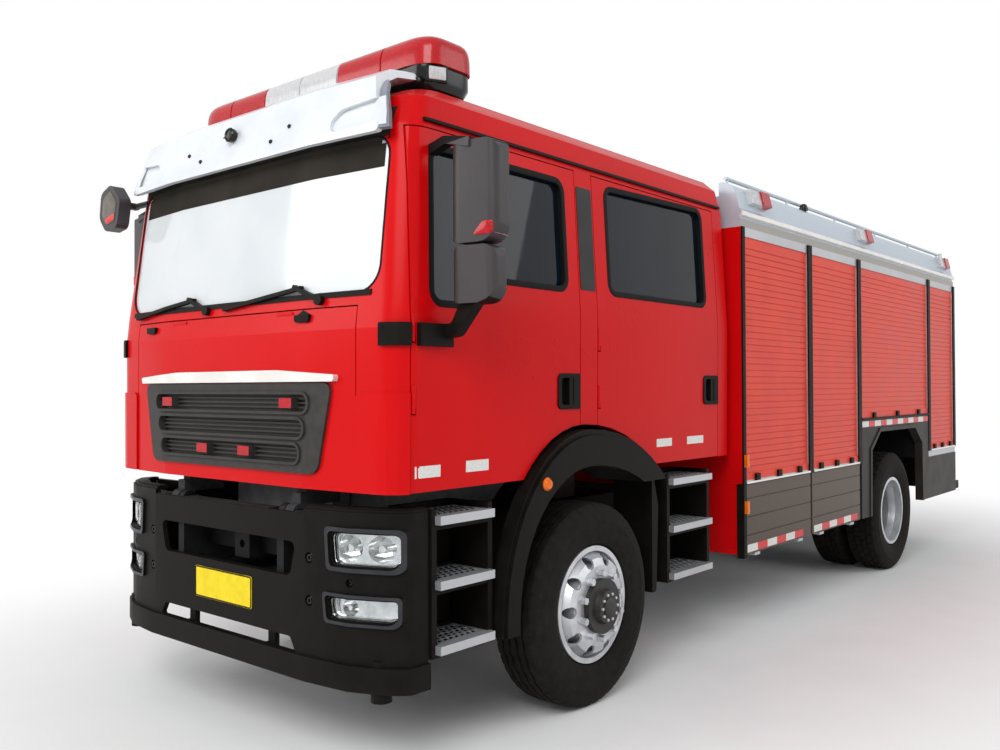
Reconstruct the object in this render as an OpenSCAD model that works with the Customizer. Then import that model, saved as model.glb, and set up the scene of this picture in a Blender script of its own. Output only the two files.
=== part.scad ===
// Crew-cab rescue fire truck on two axles with a roller-shutter equipment body.
// The front faces -Y, the left side is +X and the ground is Z = 0. Sizes are in millimetres.

/* [Overall] */
// Distance between the two axles
wheelbase = 4700; // [4600:50:5000]
// Front axle to the front of the bumper
front_overhang = 1450; // [1440:5:1500]
// Rear axle to the back of the tail step
rear_overhang = 2010; // [1960:10:2200]

/* [Wheels] */
// Outer diameter of the tyres
tyre_d = 1044; // [1000:2:1060]
// Section width of a tyre
tyre_w = 285; // [270:1:290]
// Diameter over the rim flanges
rim_d = 597; // [590:1:604]
// Middle of a front tyre from the middle of the truck
wheel_x = 1028; // [1010:1:1035]
// Rim middle to the wheel's bolting face
disc_set = 160; // [156:1:166]

/* [Cab] */
// Half the width of the cab
cab_half = 1140; // [1130:1:1150]
// Front axle to the back wall of the cab
cab_rear = 1560; // [1540:5:1570]
// Lower edge of the cab
cab_z = 1200; // [1190:1:1210]
// Top of the cab roof
cab_top = 3000; // [2990:5:3020]
// Thickness of doors and walls
wall = 60; // [50:1:70]

/* [Equipment body] */
// Half the width of the equipment body
body_half = 1200; // [1195:1:1250]
// Front axle to the front wall of the body
body_front = 1620; // [1610:5:1660]
// Top of the cornice
body_top = 2985; // [2950:5:3050]
// Top of the floor, under the shutters
deck_z = 1010; // [1000:5:1040]
// Lower edge of the lockers
locker_z = 550; // [530:5:600]

/* [Motion] */
// Seam between panels that open
seam = 6; // [5:0.5:8]
// Doors to the front wheel-arch flares
flare_gap = 22; // [20:1:26]

/* [Hidden] */

run_fit = 0.05;
touch = 0.3;
big = 4000;
axle_y = (front_overhang - wheelbase - rear_overhang) / 2;
axle_z = tyre_d / 2;
tail = wheelbase + rear_overhang;
rim_w = 236;
pin_x = 845;
rail_x = 400;
rail_top = 930;
rail_low = 670;
// Middle of the towing slot in the bumper
tow_z = 885;
body_rear = tail - 150;
tilt_y = 80 - front_overhang;
tilt_z = cab_z - 120;
hinge_x = cab_half - 5;
// Foot of the windscreen, and the seam between the roof and the sides
belt_z = cab_z + (cab_top - cab_z) * 4 / 9;
roof_z = cab_top - 220;
front_y = 40 - front_overhang;
handle_z = belt_z - 380;
door_cut = cab_half - 140;
door_y = 165 - front_overhang;
rear_door_y = 65;
flap_y = 52 - front_overhang;
flap_z = belt_z - 26;
bumper_top = cab_z - 65;
lamp_set = 46;
tunnel_z = cab_z + 360;
// Posts and openings of the equipment body along Y, from the front axle
post = 70;
arch_half = 920;
mid_post = (body_front + wheelbase - arch_half) / 2 + 25;
SHUTTERS = [[body_front + 40, mid_post - post / 2],
    [mid_post + post / 2, wheelbase - arch_half - post],
    [wheelbase - arch_half, wheelbase + arch_half],
    [wheelbase + arch_half + post, body_rear - 60]];
shutter_top = body_top - 345;
arch_top = 1360;
// Steps under the doors: first y, last y and height of the lowest tread
FRONT_STEP = [290 - front_overhang, -770, 520];
REAR_STEP = [780, 1290, 530];
step_rise = 275;

// Points of a polygon whose corners [x, y, radius] are rounded
function unit(v) = v / norm(v);
function turn(a) = a > 180 ? a - 360 : a < -180 ? a + 360 : a;
function corner(a, b, c, n) =
    let (p = [b[0], b[1]])
    let (u = unit([a[0], a[1]] - p))
    let (v = unit([c[0], c[1]] - p))
    let (h = acos(u * v) / 2)
    let (m = p + unit(u + v) * b[2] / sin(h))
    let (s = p + u * b[2] / tan(h) - m)
    let (e = p + v * b[2] / tan(h) - m)
    let (t = atan2(s[1], s[0]))
    let (d = turn(atan2(e[1], e[0]) - t))
    [for (i = [0:n]) m + b[2] * [cos(t + d * i / n), sin(t + d * i / n)]];
function rounded(p, n = 5) = [for (i = [0:len(p) - 1]) each
    p[i][2] == 0 ? [[p[i][0], p[i][1]]]
    : corner(p[(i + len(p) - 1) % len(p)], p[i], p[(i + 1) % len(p)], n)];

// A flat shape drawn in (y, z) and carried across from x0 to x1
module across(x0, x1) {
    translate([x0, 0, 0]) rotate([90, 0, 90]) linear_extrude(x1 - x0) children();
}

// A flat shape drawn in (x, z) and carried back from y0 to y1
module back(y0, y1) {
    translate([0, y1, 0]) rotate([90, 0, 0]) linear_extrude(y1 - y0) children();
}

// A block between two corners
module block(a, b) {
    translate(a) cube(b - a);
}

// A panel between two corners, with half of the touching gap left free all round
module panel(a, b) {
    g = [touch, touch, touch] / 2;
    block(a + g, b - g);
}

// A round bar along X between x0 and x1
module bar_x(x0, x1, r, y, z) {
    translate([x0, y, z]) rotate([0, 90, 0]) cylinder(r = r, h = x1 - x0, $fn = 32);
}

// A thing on the left and its mirror image on the right
module pair() {
    children();
    mirror([1, 0, 0]) children();
}

// Moves a thing from the front axle's frame to the part's frame
module place() {
    translate([0, axle_y, 0]) children();
}

// Turns a wheel shape, drawn around Z, so that its outer face looks to the left
module to_axle(x) {
    translate([x, 0, axle_z]) rotate([0, 90, 0]) children();
}

// Rear wheels are drawn from the inner wheel outwards
module rear_place() {
    translate([0, wheelbase, 0]) to_axle(wheel_x - 2 * disc_set) children();
}

// Puts the steering wheel, drawn around Z, in front of the driver
module wheel_place() {
    translate([640, 590 - front_overhang, belt_z + 10]) rotate([-32, 0, 0]) children();
}

// Wheels

// Section of a tyre, with four grooves round the tread
module tyre_section() {
    r = tyre_d / 2;
    h = tyre_w / 2;
    b = rim_w / 2 - 13 - touch;
    s = rim_d / 2 - 12 + touch;
    difference() {
        polygon(rounded([[s, -b, 0], [s + 16, -b, 0], [s + 22, -b - 14, 0], [r * 0.76, -h, 60],
            [r - 34, -h + 18, 30], [r, -h + 34, 14], [r, h - 34, 14], [r - 34, h - 18, 30],
            [r * 0.76, h, 60], [s + 22, b + 14, 0], [s + 16, b, 0], [s, b, 0],
            [s, b - 22, 0], [r * 0.76, h - 20, 40], [r - 30, h - 60, 20],
            [r - 30, 60 - h, 20], [r * 0.76, 20 - h, 40], [s, 22 - b, 0]], 4));
        for (w = [-66, -23, 23, 66]) translate([r - 13, w - 5]) square([20, 10]);
    }
}

module tyre() {
    color("#1b1b1c") rotate_extrude($fn = 96) tyre_section();
}

// Section of the steel rim and its disc, with the bolting face up
module rim_section() {
    r = rim_d / 2;
    h = rim_w / 2;
    s = r - 12;
    polygon([[s, -h + 13], [r, -h + 13], [r, -h], [s - 14, -h], [s - 14, -60], [s - 24, 0],
        [s - 22, 72], [s - 56, 138], [s - 84, disc_set - 12], [140, disc_set - 12],
        [140, disc_set], [s - 82, disc_set], [s - 46, 146], [s - 14, 84],
        [s - 14, h], [r, h], [r, h - 13], [s, h - 13]]);
}

module rim() {
    difference() {
        rotate_extrude($fn = 96) rim_section();
        for (i = [0:9]) rotate([0, 0, i * 36 + 18]) translate([s_hole(), 0, 60])
            cylinder(d = 58, h = 160, $fn = 24);
    }
}

function s_hole() = rim_d / 2 - 68;

module nuts(z) {
    for (i = [0:9]) rotate([0, 0, i * 36]) translate([167.5, 0, z]) {
        cylinder(d = 44, h = 6, $fn = 24);
        cylinder(d = 37, h = 34, $fn = 6);
    }
}

// Front wheel: rim, hub, drum and nuts
module front_wheel() {
    color("#c9ccd0") difference() {
        union() {
            rim();
            nuts(disc_set - 1);
            translate([0, 0, disc_set - 40]) cylinder(r = 139.9, h = 70, $fn = 64);
            translate([0, 0, disc_set + 25]) cylinder(r1 = 92, r2 = 84, h = 35, $fn = 48);
            difference() {
                translate([0, 0, -100]) cylinder(r = 205, h = disc_set + 88, $fn = 64);
                translate([0, 0, -101]) cylinder(r = 188, h = disc_set + 70, $fn = 64);
            }
            translate([0, 0, -80]) cylinder(r = 80, h = disc_set + 60, $fn = 48);
        }
        translate([0, 0, -120]) cylinder(r = 42 + run_fit, h = 240, $fn = 48);
    }
}

// Rear wheels: twin rims, hub, drum and nuts
module rear_wheels() {
    color("#c9ccd0") difference() {
        union() {
            rim();
            translate([0, 0, 2 * disc_set]) mirror([0, 0, 1]) rim();
            nuts(disc_set + 11);
            translate([0, 0, disc_set - 40]) cylinder(r = 140, h = 160, $fn = 64);
            translate([0, 0, disc_set + 119]) cylinder(r1 = 112, r2 = 104, h = 30, $fn = 48);
            difference() {
                translate([0, 0, -100]) cylinder(r = 215, h = disc_set + 88, $fn = 64);
                translate([0, 0, -101]) cylinder(r = 196, h = disc_set + 70, $fn = 64);
            }
            translate([0, 0, -80]) cylinder(r = 95, h = disc_set + 60, $fn = 48);
        }
        translate([0, 0, -120]) cylinder(r = 60 + run_fit, h = 330, $fn = 48);
    }
}

module rear_tyres() {
    tyre();
    translate([0, 0, 2 * disc_set]) tyre();
}

// Running gear

// Stub axle that turns on the king pin, with its steering arm
module knuckle() {
    color("#3a3c40") union() {
        translate([pin_x, 0, axle_z - 130]) cylinder(r = 24, h = 260, $fn = 32);
        for (z = [axle_z - 130, axle_z + 82]) {
            translate([pin_x, 0, z]) cylinder(r = 48, h = 48, $fn = 48);
            block([pin_x, -45, z], [pin_x + 60, 45, z + 48]);
        }
        block([pin_x + 55, -60, axle_z - 130], [pin_x + 75, 60, axle_z + 130]);
        bar_x(pin_x + 60, wheel_x + 115, 42, 0, axle_z);
        bar_x(pin_x + 70, pin_x + 79, 184, 0, axle_z);
        block([pin_x - 30, 30, axle_z - 130], [pin_x + 30, 210, axle_z - 100]);
    }
}

// Forged beam with spring seats and an eye for the king pin at each end
module front_axle() {
    color("#2c2d30") difference() {
        union() {
            block([-700, -25, axle_z - 130], [700, 25, axle_z - 30]);
            block([-700, -55, axle_z - 130], [700, 55, axle_z - 108]);
            block([-700, -55, axle_z - 52], [700, 55, axle_z - 30]);
            pair() {
                block([390, -75, axle_z - 50], [510, 75, axle_z + 18]);
                block([660, -40, axle_z - 130], [pin_x - 20, 40, axle_z + 10]);
                block([660, -40, axle_z - 80], [pin_x - 20, 40, axle_z + 81]);
                translate([pin_x, 0, axle_z - 81]) cylinder(r = 48, h = 162, $fn = 48);
            }
        }
        pair() {
            translate([pin_x, 0, 0]) cylinder(r = 24 + run_fit, h = big, $fn = 32);
            block([pin_x - 110, -70, axle_z - 160], [pin_x + 90, 70, axle_z - 81]);
        }
    }
}

// Rear axle housing with its drive shaft
module rear_axle() {
    shaft_l = wheelbase - 1645;
    shaft_a = asin((790 - axle_z) / shaft_l);
    color("#2c2d30") translate([0, wheelbase, 0]) union() {
        bar_x(2 * disc_set - wheel_x - 200, wheel_x - 2 * disc_set + 200, 60, 0, axle_z);
        bar_x(-560, 560, 95, 0, axle_z);
        pair() {
            bar_x(590, 602, 188, 0, axle_z);
            bar_x(540, 600, 90, 0, axle_z);
            block([390, -75, axle_z], [510, 75, axle_z + 108]);
        }
        translate([40, -130, axle_z]) rotate([-90, 0, 0]) cylinder(r = 205, h = 250, $fn = 48);
        translate([40, 119, axle_z]) rotate([-90, 0, 0]) cylinder(r1 = 190, r2 = 120, h = 70, $fn = 48);
        translate([0, -420, axle_z]) rotate([-90, 0, 0]) cylinder(r1 = 70, r2 = 140, h = 300, $fn = 48);
        translate([0, -400, axle_z]) rotate([90 - shaft_a, 0, 0])
            cylinder(r = 55, h = shaft_l, $fn = 32);
    }
}

// One leaf spring, sagging by drop over its length, in (y, z)
module leaf(len, drop, t) {
    n = 12;
    low = [for (i = [0:n]) [len * (i / n - 0.5), drop * pow(2 * i / n - 1, 2)]];
    high = [for (i = [0:n]) [len * (0.5 - i / n), drop * pow(1 - 2 * i / n, 2) + t]];
    polygon(concat(low, high));
}

module leaf_springs() {
    color("#26272a") pair() {
        across(rail_x + 10, rail_x + 90) translate([0, axle_z + 18]) union() {
            leaf(1560, 96, 22);
            translate([0, 21]) leaf(1300, 66, 22);
            translate([0, 42]) leaf(700, 19, 22);
        }
        across(rail_x + 10, rail_x + 90) translate([wheelbase, axle_z + 108]) union() {
            leaf(1560, 70, 26);
            translate([0, 25]) leaf(1300, 48, 26);
            translate([0, 50]) leaf(800, 18, 26);
        }
        for (y = [0, wheelbase]) for (s = [-1, 1]) {
            z = axle_z + (y == 0 ? 114 : 178);
            block([rail_x, y + s * 760 - 40, z - 20], [rail_x + 84, y + s * 760 + 40, rail_low + 110]);
        }
    }
}

// Ladder frame with its cross members, tank, tilt brackets and towing sockets
module chassis_frame() {
    end = body_rear - 60;
    color("#232426") difference() {
        union() {
            pair() {
                difference() {
                    block([rail_x - 80, 160 - front_overhang, rail_low], [rail_x, end, rail_top]);
                    block([rail_x - 90, 150 - front_overhang, rail_low + 9],
                        [rail_x - 9, end + 10, rail_top - 9]);
                }
                block([rail_x - 9, tilt_y - 40, rail_low + 120],
                    [rail_x + 40, 400 - front_overhang, rail_top]);
                block([rail_x - 9, tilt_y - 40, rail_top - 60], [rail_x + 40, tilt_y + 60, tilt_z + 10]);
                bar_x(rail_x, rail_x + 109, 22, tilt_y, tilt_z);
                bar_x(rail_x, rail_x + 40, 40, tilt_y, tilt_z);
                block([rail_x - 20, 280 - front_overhang, rail_low],
                    [pin_x + 10, 400 - front_overhang, rail_low + 80]);
                block([rail_x - 20, 1080, rail_low + 60], [pin_x + 10, 1130, rail_low + 120]);
            }
            for (y = [190 - front_overhang, 1500, 2700, wheelbase - 620, wheelbase + 620])
                block([5 - rail_x, y, rail_top - 90], [rail_x - 5, y + 60, rail_top - 10]);
            block([5 - rail_x, end - 60, rail_low + 60], [rail_x - 5, end, rail_low + 200]);
            block([-60, 120 - front_overhang, tow_z - 65], [60, 200 - front_overhang, tow_z + 55]);
            block([-75, end - 50, rail_low + 60], [75, tail - 80, rail_low + 100]);
            translate([0, tail - 80, rail_low + 60]) cylinder(r = 75, h = 40, $fn = 48);
            block([-700, wheelbase - 1800, rail_low - 40], [-rail_x + 1, wheelbase - 1100, rail_low + 150]);
            block([rail_x - 1, wheelbase - 1800, rail_low - 40], [700, wheelbase - 1200, rail_low + 150]);
        }
        translate([0, 119 - front_overhang, tow_z]) rotate([-90, 0, 0])
            cylinder(r = 20, h = 70, $fn = 32);
        translate([0, tail - 80, rail_low + 50]) cylinder(r = 25, h = 60, $fn = 32);
    }
}

// Engine, gearbox and radiator as plain blocks
module engine_block() {
    color("#4a4d51") union() {
        block([-310, -900, 620], [310, 300, 1500]);
        for (y = [-560, 100])
            block([20 - rail_x, y, rail_top + touch], [rail_x - 20, y + 110, rail_top + 50]);
        block([-200, 299, 660], [200, 1150, 1080]);
        block([-60, 1149, 740], [60, 1240, 840]);
        block([-390, -1090, 1010], [390, -1010, 1520]);
        block([-300, -1011, 1050], [300, -899, 1400]);
    }
}

// Front bumper

// Plan of the bumper with its swept corners, drawn in by an inset
module bumper_plan(inset) {
    h = cab_half - 8 - inset;
    f = inset - front_overhang;
    b = (inset > 50 ? 480 : 280) - front_overhang;
    side = [[h, b, 0], [h, f + 165, 70 - inset / 2], [h - 78, f + 100, 150 - inset], [h - 246, f + 30, 0],
        [h - 500, f, 0]];
    polygon(rounded(concat(side, flip(side)), 4));
}

// Where the face of that plan stands at x
function bumper_y(x, inset) =
    let (d = cab_half - 8 - inset - x)
    let (set = d > 500 ? 0 : d > 246 ? 30 * (500 - d) / 254 : 30 + 70 * (246 - d) / 168)
    inset - front_overhang + set;

// Wall of the bumper between two insets and two heights
module bumper_wall(a, b, z0, z1) {
    translate([0, 0, z0]) linear_extrude(z1 - z0) difference() {
        bumper_plan(a);
        bumper_plan(b);
    }
}

// Openings in the bumper, in (x, z), made larger by g
module lamp_hole(g) {
    polygon(rounded([[778 - g, 1027 + g, 22], [1090 + g, 1027 + g, 30], [1090 + g, 893 - g, 40],
        [790 - g, 893 - g, 25]], 4));
}

module fog_hole(g) {
    polygon(rounded([[762 - g, 752 + g, 16], [1080 + g, 752 + g, 20], [1080 + g, 665 - g, 36],
        [775 - g, 665 - g, 20]], 4));
}

module slot_hole() {
    polygon(rounded([[-560, 965, 30], [560, 965, 30], [520, 810, 40], [-520, 810, 40]], 4));
}

// Front bumper: corners that rise to a shoulder over the headlamps, a lower middle with a tread on it,
// and the underrun bar below
module front_bumper() {
    face = 14;
    mid = bumper_top - 40;
    bar = 480;
    color("#2b2c2e") difference() {
        union() {
            bumper_wall(face, 40, 372, bumper_top - 18);
            bumper_wall(face + 7, 70, bumper_top - 19, bumper_top - 6);
            bumper_wall(face + 18, 70, bumper_top - 7, bumper_top);
            bumper_wall(face + 1, 100, mid - 22, mid);
            bumper_wall(0, face + 1, 372, bar);
            bumper_wall(face + 1, 60, 784, 808);
            intersection() {
                bumper_wall(2, face + 1, 500, 1100);
                through_bumper() {
                    rim_round(26, 8) lamp_hole($g);
                    rim_round(22, 8) fog_hole($g);
                }
            }
            for (s = [-1, 1]) {
                block([s * 330 - 25, face + 20 - front_overhang, bar - 30],
                    [s * 330 + 25, 80 - front_overhang, 600]);
                translate([s * 990, 130 - front_overhang, 330]) cylinder(r = 45, h = 175, $fn = 32);
            }
        }
        block([-620, -big, mid], [620, 75 - front_overhang, big]);
        through_bumper() {
            slot_hole();
            both() lamp_hole(0);
            both() fog_hole(0);
        }
        back(-front_overhang - 50, face + 40 - front_overhang)
            polygon(rounded([[-560, bar, 10], [560, bar, 10], [520, 545, 20], [-520, 545, 20]], 3));
        intersection() {
            bumper_wall(-20, face + 14, 500, 1100);
            through_bumper() both() {
                for (z = [905, 720]) translate([650, z]) circle(r = 24, $fn = 24);
                translate([880, 820]) circle(r = 17, $fn = 24);
            }
        }
        pair() {
            block([384, tilt_y - 47, tilt_z - 60], [518, tilt_y + 90, bumper_top + 10]);
            block([rail_x - 16, tilt_y - 40 - touch, 700], [rail_x + 47, tilt_y + 90, tilt_z - 50]);
        }
    }
}

// Carries shapes in (x, z) through the front of the bumper
module through_bumper() {
    back(-front_overhang - 50, 300 - front_overhang) children();
}

// A flat shape and its mirror image
module both() {
    children();
    mirror([1, 0]) children();
}

// Rim between two sizes of an opening, on both sides
module rim_round(outer, inner) {
    both() difference() {
        let ($g = outer) children();
        let ($g = inner) children();
    }
}

// Lamps: headlamps with two reflectors, fog lamps, tail lamps, side markers and flashers
module lamps() {
    color("#d9dde0") {
        difference() {
            union() {
                intersection() {
                    bumper_wall(lamp_set, 110, 500, 1100);
                    through_bumper() {
                        both() lamp_hole(-4);
                        both() fog_hole(-4);
                    }
                }
                intersection() {
                    bumper_wall(40 + touch, lamp_set + 10, 500, 1100);
                    through_bumper() {
                        rim_round(18, -10) lamp_hole($g);
                        rim_round(18, -10) fog_hole($g);
                    }
                }
            }
            pair() {
                reflector(850, 960, 56);
                reflector(985, 960, 56);
                reflector(850, 708, 36);
            }
        }
        flashers(0);
        pair() {
            block([body_half - 105, body_rear + touch, 1060], [body_half - 15, body_rear + 36, 1420]);
            for (z = [860, 1160]) block([body_half + 8 + touch, body_front, z - 40],
                [body_half + 30, body_front + 30, z + 40]);
        }
    }
}

// Hollow of a reflector with its bulb left standing
module reflector(x, z, r) {
    depth = 42;
    y = bumper_y(x, lamp_set);
    translate([x, y, z]) rotate([-90, 0, 0]) difference() {
        translate([0, 0, -60]) cylinder(r = r, h = depth + 60, $fn = 48);
        cylinder(r = r * 0.3, h = depth + 1, $fn = 24);
    }
}

function step_z(low, i) = low + i * step_rise;

module step_boxes() {
    out = cab_half - 12;
    color("#1f2022") pair() for (s = [FRONT_STEP, REAR_STEP]) {
        difference() {
            block([pin_x + 10, s[0], s[2] - 30], [out, s[1], s[2] + 600]);
            for (i = [0:1]) block([pin_x + 40, s[0] + 30, step_z(s[2], i) + 40],
                [cab_half, s[1] - 30, step_z(s[2], i + 1) - 36]);
            block([pin_x + 40, s[0] + 30, step_z(s[2], 2) + 20], [cab_half, s[1] - 30, s[2] + 700]);
            block([pin_x + 40, s[0] + 30, s[2] - 40], [out - 48, s[1] - 30, s[2] - 15]);
            for (i = [0:2]) block([pin_x + 70, s[0] + 34, step_z(s[2], i) - 6],
                [cab_half, s[1] - 34, step_z(s[2], i) + 45]);
        }
    }
}

// Punched treads with a nosing over the edge of the step
module step_treads() {
    out = cab_half + 22;
    color("#b9bcbf") pair() for (s = [FRONT_STEP, REAR_STEP]) for (i = [0:2])
        translate([0, 0, step_z(s[2], i)]) difference() {
            union() {
                block([pin_x + 72, s[0] + 36, -6], [out, s[1] - 36, 26]);
                block([cab_half - 12 + touch, s[0] + 20, -12], [out, s[1] - 20, 26]);
            }
            for (a = [0:7]) for (b = [0:2])
                translate([pin_x + 115 + b * 65, s[0] + 70 + a * (s[1] - s[0] - 140) / 7, 8])
                    cylinder(d = 30, h = 40, $fn = 20);
        }
}

// Outline of the front wheel arch in (y, z), reaching r out from the opening
function arch_pt(t, r) =
    let (b = 680 + r * 185)
    let (a = cos(t) < 0 ? 585 + r * 105 : 880 + r * 110)
    [a * cos(t) - 60, 560 + b * sin(t)];

module arch_shape(r, low) {
    n = 24;
    polygon(concat([[arch_pt(0, r)[0], low]], [for (i = [0:n]) arch_pt(i * 180 / n, r)],
        [[arch_pt(180, r)[0], low]]));
}

// Front wheel arches with their flares and mudguards
module flare_section(r) {
    difference() {
        arch_shape(r, 500);
        arch_shape(0, 400);
        translate([0, 300]) square([2000, 820]);
    }
}

module front_fenders() {
    out = cab_half + 50;
    color("#242527") pair() union() {
        across(cab_half - 40, out - 16) flare_section(1);
        across(out - 17, out) flare_section(0.84);
        across(pin_x + 15, cab_half + 30) flare_section(0.1);
        across(pin_x + 15, cab_half - 20) polygon(rounded([[628, 470, 0], [672, 470, 20], [696, 960, 50],
            [650, 1121, 10], [628, 1121, 0]], 4));
        block([pin_x + 15, 440, 1121], [cab_half - 20, REAR_STEP[0] - touch, 1140]);
    }
}

// What the cab and its doors leave free over the wheel arches
module arch_clear(g) {
    across(pin_x - 20, big) arch_shape(1 + g / 160, -100);
}

// Cab form

// Upright front of the cab below the windscreen, as a wall between two insets
module front_wall(a, b) {
    difference() {
        translate([0, 0, cab_z]) linear_extrude(belt_z - 120 - cab_z)
            cab_plan(cab_half - a, front_y + a, 0, 120 - a * 0.8);
        translate([0, 0, cab_z - 10]) linear_extrude(big)
            cab_plan(cab_half - b, front_y + b, 100, 120 - b * 0.8);
    }
}

// Plan of the cab at one height: half width, front, back and corner radius
module cab_plan(h, f, b, r) {
    polygon(rounded([[h, b, 40], [h, f + 50, r], [h * 0.5, f, 0], [-h * 0.5, f, 0],
        [-h, f + 50, r], [-h, b, 40]], 4));
}

// The outside of the cab drawn in by an inset, as one smooth form
module cab_form(d) {
    t = 4;
    // height, narrowing at the sides, setting back at the front and at the back
    slices = [[cab_z - 20 - max(d, 0), 8, 0, 0], [belt_z - 110, 0, 0, 0], [belt_z + 16, 0, 14, 0],
        [roof_z - 24, 42, 104, 0], [roof_z + 120, 70, 160, 25], [cab_top - 42, 125, 260, 70],
        [cab_top - t, 250, 460, 200]];
    hull() for (s = slices)
        translate([0, 0, s[0] > roof_z ? s[0] - d : s[0]]) linear_extrude(t)
            cab_plan(cab_half - s[1] - d, front_y + s[2] + d, cab_rear - s[3] - d, 120 - d * 0.8);
}

module cab_skin(a, b) {
    difference() {
        cab_form(a);
        cab_form(b);
    }
}

// Door outlines in (y, z), drawn in by g; the rear edge of the front door is at -90
module door_front_shape(g) {
    polygon([[door_y + g, cab_z + g], [door_y + g, belt_z], [door_y + 45 + g, roof_z - 25 - g],
        [-90 - g, roof_z - 25 - g], [-90 - g, cab_z + g]]);
}

module door_rear_shape(g) {
    polygon([[rear_door_y + g, cab_z + g], [rear_door_y + g, roof_z - 25 - g],
        [cab_rear - 160 - g, roof_z - 25 - g], [cab_rear - 160 - g, cab_z + g]]);
}

module window_front_shape(g) {
    f = 290 - front_overhang;
    polygon(rounded([[f + g, belt_z + 10 + g, 50], [f + 175, belt_z + 10 + g, 120],
        [f + 400, belt_z + 140 + g, 120], [-205 - g, belt_z + 140 + g, 50],
        [-205 - g, roof_z - 110 - g, 50], [f + 35 + g, roof_z - 110 - g, 60]], 4));
}

module window_rear_shape(g) {
    polygon(rounded([[200 + g, belt_z + 150 + g, 50], [cab_rear - 320 - g, belt_z + 150 + g, 50],
        [cab_rear - 320 - g, roof_z - 55 - g, 50], [200 + g, roof_z - 80 - g, 50]], 4));
}

module screen_shape(g) {
    polygon(rounded([[-1010 + g, belt_z + 50 + g, 110], [1010 - g, belt_z + 50 + g, 110],
        [1000 - g, roof_z - 60 - g, 90], [-1000 + g, roof_z - 60 - g, 90]], 5));
}

module flap_shape(g) {
    translate([-900 + g, cab_z - 5 + g]) square([1800 - 2 * g, belt_z - 10 - cab_z - 2 * g + 5]);
}

// Hinge barrels along the front edge of a door, which stand on seats on the pillar
function hinge_heights() = [belt_z - 440, belt_z - 140];

module door_hinge(y) {
    for (z = hinge_heights()) translate([hinge_x, y + 12, z]) cylinder(r = 9, h = 90, $fn = 24);
}

module hinge_seats(y) {
    for (z = hinge_heights()) {
        translate([hinge_x, y + 12, z - 28]) cylinder(r = 9, h = 28 - touch, $fn = 24);
        block([hinge_x - 18, y - 16, z - 28], [hinge_x - 7, y + 12, z - touch]);
    }
}

module hinge_pockets(y) {
    for (z = hinge_heights()) block([hinge_x - 22, y - 10, z - 34], [big, y + 28, z]);
}

// Black handle plate at the rear edge y of a door, with a pocket and a grip
module handle_plate(y) {
    across(cab_half - wall + 5, cab_half + 4) polygon(rounded([[y - 190, handle_z - 90, 30],
        [y - 4, handle_z - 90, 12], [y - 4, handle_z + 90, 12], [y - 190, handle_z + 90, 30]], 4));
}

module handle_pocket(y) {
    difference() {
        across(cab_half - 30, big) polygon(rounded([[y - 165, handle_z - 68, 24],
            [y - 60, handle_z - 68, 12], [y - 60, handle_z + 68, 12], [y - 165, handle_z + 68, 24]], 4));
        across(cab_half - 40, cab_half + 1) translate([y - 95, handle_z - 75]) square([36, 150]);
    }
}

// One door, drawn on the left: skin cut to the outline, with its window
module door_front() {
    color("#c8161d") difference() {
        union() {
            intersection() {
                cab_skin(0, wall);
                across(door_cut, big) door_front_shape(seam / 2);
            }
            door_hinge(door_y);
            handle_plate(-90 - seam / 2);
        }
        hinge_pockets(door_y);
        across(door_cut, big) window_front_shape(0);
        handle_pocket(-90 - seam / 2);
        arch_clear(flare_gap);
    }
}

module door_rear() {
    last = cab_rear - 160 - seam / 2;
    color("#c8161d") difference() {
        union() {
            intersection() {
                cab_skin(0, wall);
                across(door_cut, big) door_rear_shape(seam / 2);
            }
            door_hinge(rear_door_y);
            handle_plate(last);
        }
        hinge_pockets(rear_door_y);
        across(door_cut, big) window_rear_shape(0);
        handle_pocket(last);
        arch_clear(flare_gap);
    }
}

module glass_front() {
    color("#9fb0b5") intersection() {
        cab_skin(24, 30);
        across(door_cut, big) window_front_shape(touch);
    }
}

module glass_rear() {
    color("#9fb0b5") intersection() {
        cab_skin(24, 30);
        across(door_cut, big) window_rear_shape(touch);
    }
}

// Pillars, back wall and the raised deflectors at the front corners
module cab_frame() {
    color("#c8161d") difference() {
        union() {
            intersection() {
                cab_skin(0, wall);
                block([-big, -big, cab_z], [big, big, roof_z]);
            }
            intersection() {
                cab_skin(-9, 5);
                back(-big, door_y - seam) both() polygon(rounded([[905, cab_z, 0], [big, cab_z, 0],
                    [big, belt_z - 380, 0], [905, belt_z - 380, 30]], 4));
            }
        }
        pair() {
            across(door_cut, big) door_front_shape(-seam / 2);
            across(door_cut, big) door_rear_shape(-seam / 2);
            arch_clear(flare_gap);
        }
        back(-big, -600) screen_shape(0);
        back(-big, -600) flap_shape(-seam / 2);
    }
    color("#c8161d") pair() {
        hinge_seats(door_y);
        hinge_seats(rear_door_y);
    }
}

// Roof with a gutter over the doors
module cab_roof() {
    color("#c8161d") union() {
        intersection() {
            cab_skin(0, wall);
            block([-big, -big, roof_z], [big, big, cab_top + 10]);
        }
        intersection() {
            cab_skin(-14, 2);
            pair() block([door_cut, door_y + 120, roof_z + 4], [big, cab_rear - 60, roof_z + 18]);
        }
    }
}

module windscreen() {
    color("#a9b9bd") intersection() {
        cab_skin(8, 15);
        back(-big, -600) screen_shape(touch);
    }
}

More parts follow.
